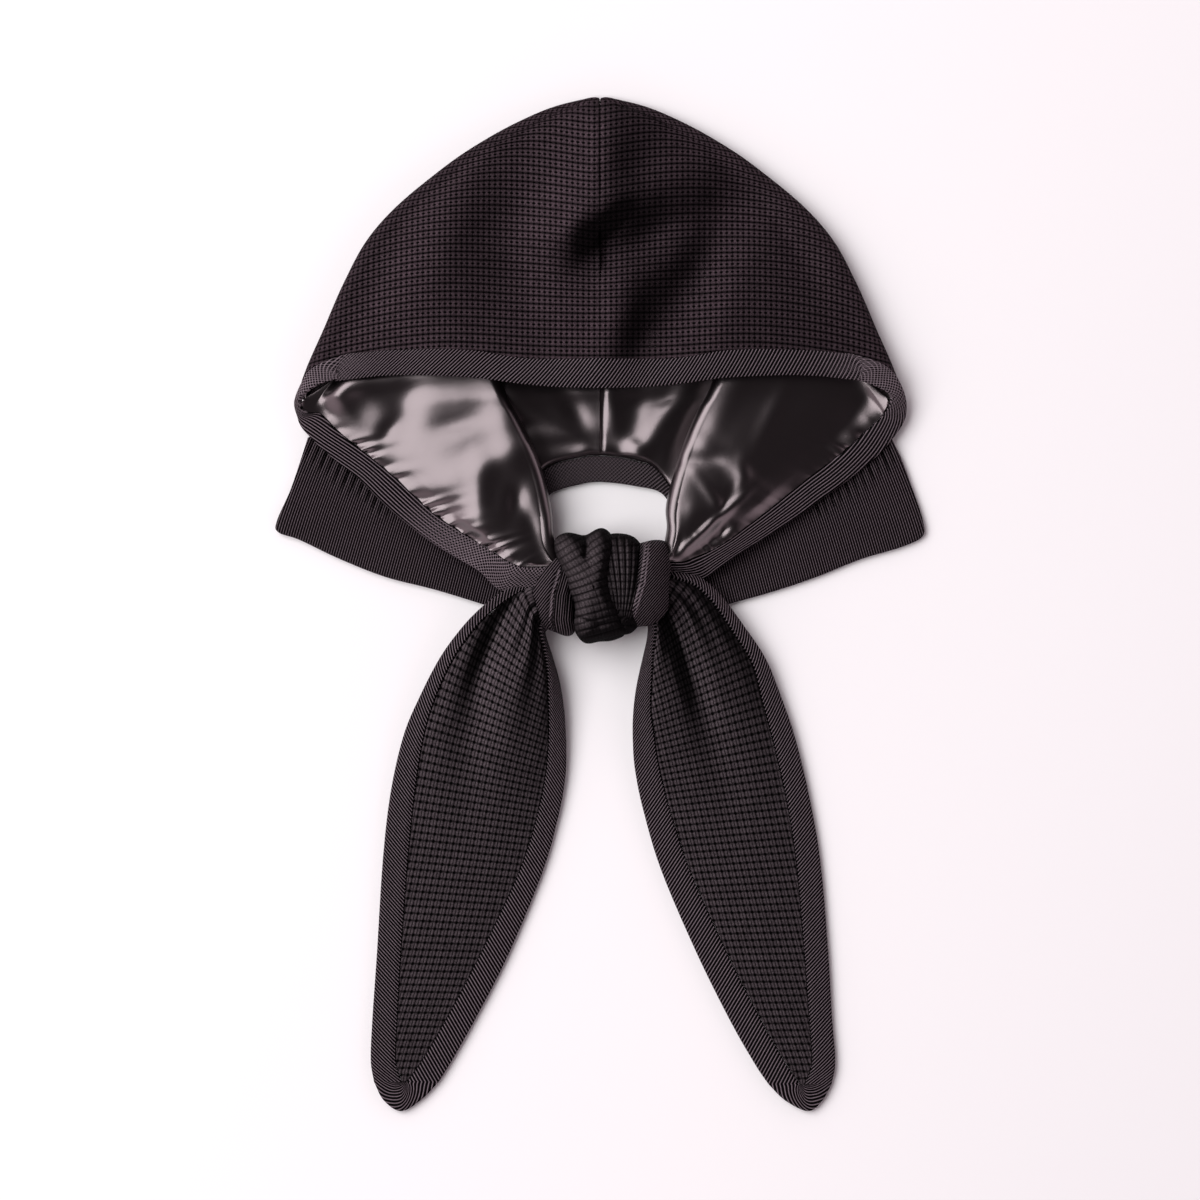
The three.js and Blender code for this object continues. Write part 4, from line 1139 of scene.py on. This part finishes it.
def pillow(name, material, centre, outline, top, low, power, shape, height=None, steps=KNOT_STEPS):
    """A domed body: ring r of 0 to 1 lies at r times the outline's distance, at the height
    low + (top - low)(1 - r^power)^(1/power), and closes underneath at a fifth of that. The outline
    gives angles in degrees with distances. `shape(x, y)` returns the relief along the normal, u,
    v, the count of ribs and how far they turn to mesh, where None asks for painted light and
    painted shade worked out from the slopes of the finished surface. `height(x, y)` is added to the
    top."""
    shell = Shell()
    rings, around = steps
    places = np.array([place for place, _ in outline] + [outline[0][0] + 360.0])
    reach = np.array([distance for _, distance in outline] + [outline[0][1]])
    padded = smooth(np.r_[places[-2] - 360, places, places[1] + 360],
                    np.r_[reach[-2], reach, reach[1]])
    angle = np.linspace(places[0], places[0] + 360, around + 1)
    radius, angle = padded(angle), np.radians(angle)
    ring = np.sin(np.linspace(0, np.pi / 2, rings + 1))[:, None]
    x = centre[0] + ring * radius * np.cos(angle)
    y = centre[1] + ring * radius * np.sin(angle)
    dome = (1 - ring ** power) ** (1 / power)
    tilt = 0 if height is None else height(x, y)
    upper = point(x, y, low + (top + tilt - low) * dome)
    normal = normals(upper)
    normal[:, [0, -1]] = unit(normal[:, [0]] + normal[:, [-1]])
    normal[0] = [0, 0, 1]
    normal = normal * np.sign(normal[..., 2].sum())
    relief, u, v, ribs, mesh = shape(x, y)
    upper = upper + normal * (relief * (1 - ring ** 12))[..., None]
    # painted light and painted shade by how each finished slope faces the key light
    if mesh is None:
        facing = normals(upper)
        mesh = painted_light_by_slope(facing * np.sign(facing[..., 2].sum()))
    upper_index = shell.patch(upper, u, v, ribs, mesh)
    shell.span(upper_index[:, ::-1])
    under = ring[::-4]
    under_x = centre[0] + under * radius * np.cos(angle)
    under_y = centre[1] + under * radius * np.sin(angle)
    under_dome = (1 - under ** power) ** (1 / power)
    under_z = low - 0.2 * (top - low) * under_dome
    lower = shell.patch(point(under_x, under_y, under_z), under_x, under_y)
    shell.span(np.vstack([upper_index[-1:], lower[1:]])[:, ::-1])
    return shell.build(name, material)


def crease(x, y, points, width, depth):
    """Minus a groove along a line of points: depth * exp(-(distance / width)^2)."""
    line = np.array(points, float)
    nearest = np.full(x.shape, 1e9)
    for (ax, ay), (bx, by) in zip(line[:-1], line[1:]):
        run, rise = bx - ax, by - ay
        f = np.clip(((x - ax) * run + (y - ay) * rise) / (run ** 2 + rise ** 2), 0, 1)
        nearest = np.minimum(nearest, np.hypot(x - mix(ax, bx, f), y - mix(ay, by, f)))
    return -depth * np.exp(-((nearest / width) ** 2))


# %% Build the turns of the knot
def knot_front(name, material):
    """The broad turn in front, its knit slanting down across it."""
    def shape(x, y):
        """Rows and columns of the knit, two creases and four soft ridges."""
        u, v = turned(x, y, mix(28.0, 15.0, ease(-y, -26, 4)))
        relief = -(0.14 * ridge(u / TAIL_CELL, 3) + 0.36 * ridge(v / TAIL_ROW, 2))
        relief = relief + crease(x, y, [(-8, 37), (-6.5, 30), (-7, 24)], 1.3, 1.6)
        relief = relief + crease(x, y, [(-12, -7), (0, -11), (12, -9)], 1.2, 0.9)
        relief = relief + folds(x, y, [(1, 25, 16, 6, 75, 1.6), (-14, 26, 10, 5, 80, 1.0),
                                       (-3, 2, 18, 8, 100, 1.0), (-17, 0, 12, 2.4, 78, 1.0)])
        # None: painted light and painted shade by slope, worked out by pillow
        return relief, u, v, 0, None

    outline = [(-84, 27.2), (-67, 28.2), (-54, 27.2), (-43, 18.5), (-16, 11.4), (10, 10.0),
               (35, 11.0), (60, 17.9), (70, 26.6), (81, 29.9), (100, 26.5), (119, 31.0),
               (130, 30.5), (145, 21.6), (166, 15.5), (200, 13.0), (228, 15.2), (243, 22.4),
               (260, 28.0)]
    return pillow(name, material, (-3.0, 8.0), outline, 40, 12, 2.4, shape)


def knot_left_edge(name, material):
    """The bound edge that comes round on the left, a crescent of twill."""
    def shape(x, y):
        """The piping, the groove outside it and the pleats inside it."""
        u, v = turned(x, y, 52)
        piping = -crease(x, y, [(-20, 16), (-23.5, 4), (-24.5, -8), (-23.5, -14)], 0.7, 1.0)
        groove = crease(x, y, [(-21.6, 16), (-25.1, 4), (-26.1, -8), (-25.1, -14)], 0.6, 0.6)
        inside = x - np.interp(y, [-14, -8, 4, 16], [-23.5, -24.5, -23.5, -20])
        pleats = 0.7 * (np.abs(np.sin(np.pi * inside / 3.6)) ** 0.7 - 0.5) * ease(inside, 1, 2)
        ribs = np.where(inside > 1.0, inside / 1.2, v / 1.15)
        # along the piping the rib count is held at whole numbers, where twill is brightest: a painted
        # highlight on the cord
        return 0.9 * piping + 1.3 * groove + pleats, u, v, mix(ribs, np.round(ribs), piping), 0

    outline = [(0, 9), (40, 11), (70, 20.5), (90, 20), (110, 17.5), (140, 14.6), (165, 14),
               (190, 14.4), (215, 15.4), (240, 17.6), (262, 18.6), (285, 20.5), (305, 15),
               (330, 10)]
    return pillow(name, material, (-19.5, 4.0), outline, 31, 9, 2.3, shape, steps=(40, 120))


PLEATS = 5.5  # pleats between the front turn and the piping


def knot_right_pleats(name, material):
    """The band that goes over behind the front turn, squeezed into pleats that fan upward."""
    left = smooth([-16, -6, 6, 18, 30, 38], [10.5, 9.0, 7.5, 5.5, 3.5, 2.0])
    right = smooth([-16, -6, 6, 18, 30, 38], [12.0, 15.0, 19.0, 22.0, 23.5, 24.0])

    def shape(x, y):
        """Pleats as rounded waves of the share of the way from the left line to the right one."""
        share = (x - left(y)) / (right(y) - left(y))
        u = share * PLEATS * TAIL_CELL
        pleat = 0.9 * (np.abs(np.cos(np.pi * share * PLEATS)) ** 0.7 - 0.6)
        # None: painted light and painted shade by slope, worked out by pillow
        return pleat + 0.8 * tail_relief(u + TAIL_CELL / 2, y), u + TAIL_CELL / 2, y, 0, None

    outline = [(-110, 24.5), (-80, 27.0), (-60, 22.0), (-25, 14.5), (0, 13.5), (25, 14.5),
               (50, 18.5), (70, 22.5), (90, 23.5), (110, 23.5), (140, 20), (180, 14), (220, 17)]
    return pillow(name, material, (10.0, 11.5), outline, 36, 10, 2.4, shape)


def knot_right_edge(name, material):
    """The bound edge on the right, with the double line of its piping."""
    line = [(22.6, 34), (22.4, 24), (20.5, 10), (16.5, -3), (12.5, -13)]
    second = [(px + 1.7, py) for px, py in line]
    border_x, border_y = zip(*line[::-1])
    border = smooth(border_y, border_x)

    def shape(x, y):
        """The piping and the finer cord beside it."""
        u, v = turned(x, y, 49)
        piping, cord = -crease(x, y, line, 0.6, 1.0), -crease(x, y, second, 0.45, 1.0)
        ribs = v / 1.05
        # along the piping and cord the rib count is held at whole numbers, where twill is brightest: a
        # painted highlight
        ribs = mix(ribs, np.round(ribs), np.maximum(piping, cord))
        return 0.9 * piping + 0.5 * cord, u, v, ribs, 0

    def tilt(x, y):
        """Height that falls from the border toward the pleats and rises a little outside it."""
        return np.clip(1.1 * (x - border(np.clip(y, border_y[0], border_y[-1])) + 1.0), -7, 2.5)

    outline = [(-125, 20.5), (-110, 21.3), (-90, 20.5), (-70, 20), (-45, 17.5), (-20, 14.6),
               (0, 13.6), (20, 14.6), (45, 19.5), (62, 24.4), (75, 23.6), (90, 21.5),
               (120, 20), (180, 11)]
    return pillow(name, material, (21.5, 9.0), outline, 33.5, 8, 2.4, shape, tilt, steps=(48, 150))


# %% [markdown]
# ## Short words for shader nodes
#
# A cloth material is arithmetic on the pattern coordinates kept in each piece: cosines that
# rise at the ribs, products that mark the pits. Wiring each node by hand takes a line or
# two each time, so a small helper wires a Math node in one call.

# %% A helper that wires materials
class Recipe:
    """A material with its Principled shader and short calls for the nodes before it. Constants
    are named like the shader's sockets, with _ for a space."""

    def __init__(self, name, roughness, **constants):
        self.material = bpy.data.materials.new(name)
        self.material.use_nodes = True
        self.nodes, self.links = self.material.node_tree.nodes, self.material.node_tree.links
        self.shader = self.nodes["Principled BSDF"]
        self.shader.inputs["Roughness"].default_value = roughness
        for socket, value in constants.items():
            self.shader.inputs[socket.replace("_", " ")].default_value = value

    def put(self, socket, value):
        """Links a socket, or sets a plain value on it."""
        if isinstance(value, bpy.types.NodeSocket):
            self.links.new(value, socket)
        else:
            socket.default_value = value

    def math(self, operation, *values):
        """One Math node; returns its result."""
        node = self.nodes.new("ShaderNodeMath")
        node.operation = operation
        for socket, value in zip(node.inputs, values):
            self.put(socket, value)
        return node.outputs[0]

    def pattern(self, layer):
        """The two pattern coordinates of a layer, in millimetres or counts."""
        coordinates = self.nodes.new("ShaderNodeUVMap")
        coordinates.uv_map = layer
        parts = self.nodes.new("ShaderNodeSeparateXYZ")
        self.links.new(coordinates.outputs[0], parts.inputs[0])
        return parts.outputs[0], parts.outputs[1]

    def ridge(self, phase, power):
        """The positive half of a cosine of the phase, raised to a power."""
        wave = self.math("COSINE", self.math("MULTIPLY", phase, 2 * math.pi))
        return self.math("POWER", self.math("MAXIMUM", wave, 0.0), power)

    def lines(self, at, spacing, power, darkness):
        """Ridges at every multiple of the spacing, times their darkness."""
        count = self.math("DIVIDE", at, spacing)
        return self.math("MULTIPLY", self.ridge(count, power), darkness)

    def noise(self, scale, detail):
        """Noise of the object's own space, scale in features per metre."""
        node = self.nodes.new("ShaderNodeTexNoise")
        node.inputs["Scale"].default_value = scale
        node.inputs["Detail"].default_value = detail
        place = self.nodes.new("ShaderNodeTexCoord")
        self.links.new(place.outputs["Object"], node.inputs["Vector"])
        return node.outputs["Fac"]

    def blend(self, factor, first, second):
        """Mixes two colours by a factor."""
        node = self.nodes.new("ShaderNodeMix")
        node.data_type = "RGBA"
        self.put(node.inputs[0], factor)
        for socket, colour in ((node.inputs[6], first), (node.inputs[7], second)):
            self.put(socket, colour if isinstance(colour, bpy.types.NodeSocket) else (*colour, 1.0))
        return node.outputs[2]

    def finish(self, colour, height, depth):
        """Links the colour, and a bump of this depth in metres."""
        self.put(self.shader.inputs["Base Color"], colour)
        bump = self.nodes.new("ShaderNodeBump")
        bump.inputs["Distance"].default_value = depth
        bump.inputs["Strength"].default_value = 1.0
        self.put(bump.inputs["Height"], height)
        self.links.new(bump.outputs[0], self.shader.inputs["Normal"])
        return self.material


# %% [markdown]
# ## The finishes
#
# Waffle knit is matt, with a fuzz of fine yarn and painted shade in its pits and grooves.
# Slopes that face the key light are painted brighter and slopes turned from it painted darker;
# how much is kept in the pattern. Twill has bright ribs with painted shade in the dark lines
# between. Rib knit has fine close ribs with painted shade between them. Satin is nearly black and
# smooth: its look is all reflection, so it gets a high index and hardly any colour of its own.

# %% Mix the finishes
KNIT_DARK, KNIT_LIGHT = (0.0005, 0.0003, 0.0004), (0.092, 0.064, 0.076)
TAPE_DARK, TWILL_LIGHT = (0.0006, 0.0004, 0.0005), (0.235, 0.188, 0.212)
RIB_LIGHT = (0.170, 0.133, 0.152)
KNOT_TWILL_LIGHT = (0.150, 0.120, 0.135)
TIE_LIGHT = (0.128, 0.104, 0.115)
KNOT_LIGHT = (0.088, 0.073, 0.079)
DULL = dict(Specular_IOR_Level=0.04)  # cloth with next to no gloss


def waffle(name, bright, painted_light_gain, column, row, groove_rows, groove, across, pits, halves=0.0):
    """Waffle knit: pits at the crossings, grooves every `groove_rows` rows, lines `across` at
    each column and `halves` at each half column, each with its darkness of 0 to 1, which is painted
    shade in these recesses. The painted light by slope from the pattern multiplies the share of the
    colour `bright` by 1 + the gain times that value, kept at 0.12 or more."""
    mixed = Recipe(name, 0.9, **DULL)
    u, v = mixed.pattern("cloth")
    waves = [mixed.math("COSINE", mixed.math("MULTIPLY", at, 2 * math.pi / size))
             for at, size in ((u, column), (v, row))]
    pit = mixed.math("SUBTRACT", mixed.math("ADD", *waves), 0.15)
    pit = mixed.math("MULTIPLY", pit, pits)
    depth = mixed.math("MINIMUM", mixed.math("MAXIMUM", pit, 0.0), 1.0)
    for at, spacing, power, darkness in ((v, row * groove_rows, 1.5, groove),
                                         (u, column, 2.0, across), (u, column / 2, 2.0, halves)):
        depth = mixed.math("MAXIMUM", depth, mixed.lines(at, spacing, power, darkness))
    yarn = mixed.noise(1500.0, 3.0)
    patchy = mixed.noise(160.0, 2.0)
    shade = mixed.math("MULTIPLY_ADD", yarn, 1.1, mixed.math("MULTIPLY", patchy, 0.25))
    # painted light and painted shade: slopes that face the key light brighter, slopes turned from it
    # darker
    _, facing = mixed.pattern("ribs")
    facing = mixed.math("MAXIMUM", mixed.math("MULTIPLY_ADD", facing, painted_light_gain, 1.0), 0.12)
    shade = mixed.math("MULTIPLY", mixed.math("SUBTRACT", shade, 0.25), facing)
    light = mixed.blend(shade, KNIT_DARK, bright)
    # pits, grooves and lines turn to KNIT_DARK: painted shade in the knit's recesses
    colour = mixed.blend(depth, light, KNIT_DARK)
    height = mixed.math("MULTIPLY_ADD", yarn, 0.5, mixed.math("MULTIPLY", depth, -0.5))
    return mixed.finish(colour, height, 0.0005)


def twill(name, light):
    """Twill tape: ribs by their count, turning to a mesh of two slants where the cloth says so."""
    mixed = Recipe(name, 0.8, **DULL)
    ribs, mesh = mixed.pattern("ribs")
    u, v = mixed.pattern("cloth")
    rib = mixed.ridge(ribs, 2.0)
    slants = [mixed.math("DIVIDE", mixed.math(way, u, v), 1.9) for way in ("ADD", "SUBTRACT")]
    basket = mixed.math("ADD", mixed.ridge(slants[0], 2.0), mixed.ridge(slants[1], 2.0))
    basket = mixed.math("MINIMUM", basket, 1.0)
    raised = mixed.math("MULTIPLY_ADD", mixed.math("SUBTRACT", basket, rib), mesh, rib)
    yarn = mixed.noise(1300.0, 3.0)
    bright = mixed.math("MULTIPLY", raised, mixed.math("MULTIPLY_ADD", yarn, 0.9, 0.45))
    # dark lines between the ribs and between the mesh's threads: painted shade in the grooves
    colour = mixed.blend(bright, TAPE_DARK, light)
    return mixed.finish(colour, mixed.math("MULTIPLY_ADD", yarn, 0.3, raised), 0.0003)


def rib_knit(name):
    """Fine rib knit of the flaps, each rib broken into small stitches."""
    mixed = Recipe(name, 0.9, **DULL)
    u, v = mixed.pattern("cloth")
    rib = mixed.ridge(mixed.math("DIVIDE", u, FLAP_RIB), 1.3)
    stitch = mixed.math("ADD", mixed.lines(v, 1.4, 1.0, 0.35), 0.65)
    raised = mixed.math("MULTIPLY", rib, stitch)
    yarn = mixed.noise(1400.0, 3.0)
    bright = mixed.math("MULTIPLY", raised, mixed.math("MULTIPLY_ADD", yarn, 0.9, 0.4))
    # dark between the ribs: painted shade in the grooves
    colour = mixed.blend(bright, TAPE_DARK, RIB_LIGHT)
    return mixed.finish(colour, mixed.math("MULTIPLY_ADD", yarn, 0.3, raised), 0.00025)


def satin(name):
    """Black satin: reflection with a soft spread, over a very dark ground with a faint grain."""
    mixed = Recipe(name, 0.29, IOR=2.16, Specular_IOR_Level=0.5,
                   Specular_Tint=(1.0, 0.86, 0.89, 1.0))
    grain = mixed.noise(2600.0, 2.0)
    slubs = mixed.noise(140.0, 2.0)
    colour = mixed.blend(slubs, (0.0012, 0.0008, 0.001), (0.0024, 0.0016, 0.002))
    return mixed.finish(colour, mixed.math("MULTIPLY_ADD", grain, 0.25, slubs), 0.00006)


HOOD_KNIT = waffle("hood_waffle_knit", KNIT_LIGHT, 1.6, COLUMN, ROW,
                   groove_rows=2, groove=0.85, across=0.6, pits=1.0)
TIE_KNIT = waffle("tie_waffle_knit", TIE_LIGHT, 2.6, TAIL_CELL, TAIL_ROW,
                  groove_rows=1, groove=0.85, across=0.7, pits=0.8, halves=0.9)
KNOT_KNIT = waffle("knot_waffle_knit", KNOT_LIGHT, 2.6, TAIL_CELL, TAIL_ROW,
                   groove_rows=1, groove=0.7, across=0.35, pits=0.4, halves=0.45)
TWILL = twill("binding_twill", TWILL_LIGHT)
KNOT_TWILL = twill("knot_twill", KNOT_TWILL_LIGHT)
FLAP_KNIT = rib_knit("flap_rib_knit")
BLACK_SATIN = satin("black_satin")
print("finishes:", [material.name for material in bpy.data.materials if material.users])


# %% [markdown]
# ## Sew it together
#
# Every piece is built, named, set to ride on the frame's one body and to stand for its plain
# solid.

# %% Build every piece
def place(piece, slot, *nodes):
    """Lets the piece ride on the one body and stand for its plain solids."""
    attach(piece, "root")
    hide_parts(*nodes)
    return piece


SIDE_PIECES = [  # key, maker, name, finish, slot and plain solid; one on each side
    ("hood", waffle_hood, "waffle_hood", HOOD_KNIT, "waffle_knit", "hood_panel"),
    ("lining", satin_lining, "satin_lining", BLACK_SATIN, "satin_lining", "lining"),
    ("cheek", satin_cheek, "satin_cheek", BLACK_SATIN, "satin_lining", "cheek"),
    ("flap", ribbed_flap, "ribbed_flap", FLAP_KNIT, "ribbed_knit", "neck_flap"),
    ("tie", tie_cloth, "tie_cloth", TIE_KNIT, "waffle_knit", "tail"),
    ("tie_edge", tie_edge, "tie_binding", TWILL, "twill_binding", "tail_binding"),
]
SINGLE_PIECES = [  # the same columns
    ("face", face_binding, "face_edge_binding", TWILL, "twill_binding", "face_binding"),
    ("nape", nape_binding, "nape_edge_binding", KNOT_TWILL, "twill_binding", "nape_binding"),
    ("knot", knot_front, "knot_front_turn", KNOT_KNIT, "waffle_knit", "knot_wrap"),
    ("knot_left", knot_left_edge, "knot_left_edge", KNOT_TWILL, "twill_binding", "knot_edge_left"),
    ("pleats", knot_right_pleats, "knot_right_pleats", KNOT_KNIT, "waffle_knit", "knot_pleats_right"),
    ("knot_right", knot_right_edge, "knot_right_edge", KNOT_TWILL, "twill_binding", "knot_edge_right"),
]

made = {}
for side, word in ((-1, "left"), (1, "right")):
    for key, maker, name, finish, slot, solid in SIDE_PIECES:
        piece = maker(side, f"{name}_{word}", finish)
        made[f"{key}_{word}"] = place(piece, slot, f"{solid}_{word}")
for key, maker, name, finish, slot, solid in SINGLE_PIECES:
    made[key] = place(maker(name, finish), slot, solid)
triangles = sum(len(piece.data.polygons) for piece in made.values())
print("all pieces:", len(made), "triangles:", triangles)


# %% [markdown]
#


# %% [markdown]
# ## Floor, light and camera
#
# A wide pale floor, one large soft light from the left, a sky that is bright near the horizon
# and dark overhead, and a camera straight above, far away with a long lens so that nothing
# leans.

# %% Set the stage
def plane(name, size, z):
    """A square of the floor."""
    half = size / 2
    mesh = bpy.data.meshes.new(name)
    mesh.from_pydata([(-half, -half, z), (half, -half, z), (half, half, z), (-half, half, z)],
                     [], [(0, 1, 2, 3)])
    return show(bpy.data.objects.new(name, mesh))


FLOOR_DROP = 0.0004  # metres below the scarf, so that the two surfaces never touch
floor = plane("floor", 30.0, -FLOOR_DROP)
paper = Recipe("floor_paper", 0.95)
tone = paper.noise(3.0, 1.0)
floor.data.materials.append(paper.finish(
    paper.blend(tone, (0.91, 0.90, 0.905), (0.93, 0.92, 0.925)), tone, 0.00001))


def softbox(name, place_at, size, power, colour):
    """A rectangular area light that faces the scarf."""
    data = bpy.data.lights.new(name, "AREA")
    data.shape = "RECTANGLE"
    data.size, data.size_y = size
    data.energy = power
    data.color = colour
    lamp = show(bpy.data.objects.new(name, data))
    lamp.location = place_at
    aim = -np.array(place_at)
    lamp.rotation_euler = (math.acos(-aim[2] / np.linalg.norm(aim)), 0,
                           math.atan2(aim[1], aim[0]) - math.pi / 2)


softbox("key_softbox", (-1.752, 0.638, 2.387), (3.52, 2.56), 122, (1.0, 0.98, 0.99))

world = bpy.data.worlds.new("studio")
world.use_nodes = True
nodes, links = world.node_tree.nodes, world.node_tree.links
sky = nodes["Background"]
where = nodes.new("ShaderNodeTexCoord")
parts = nodes.new("ShaderNodeSeparateXYZ")
links.new(where.outputs["Generated"], parts.inputs[0])
rise = nodes.new("ShaderNodeMapRange")
rise.interpolation_type = "SMOOTHSTEP"
for socket, value in (("From Min", 0.28), ("From Max", 0.8), ("To Min", 1.1), ("To Max", 0.02)):
    rise.inputs[socket].default_value = value
links.new(parts.outputs[2], rise.inputs[0])
links.new(rise.outputs[0], sky.inputs["Strength"])
sky.inputs["Color"].default_value = (1.0, 0.84, 0.91, 1.0)

lens = bpy.data.cameras.new("camera")
lens.sensor_width = 36.0
lens.lens = 240.0
lens.clip_end = 50.0
camera = show(bpy.data.objects.new("camera", lens))
camera.location = (0.0, 0.00175, 4.0)
scene = bpy.context.scene
scene.camera, scene.world = camera, world
scene.view_settings.view_transform = "Standard"
scene.view_settings.look = "None"
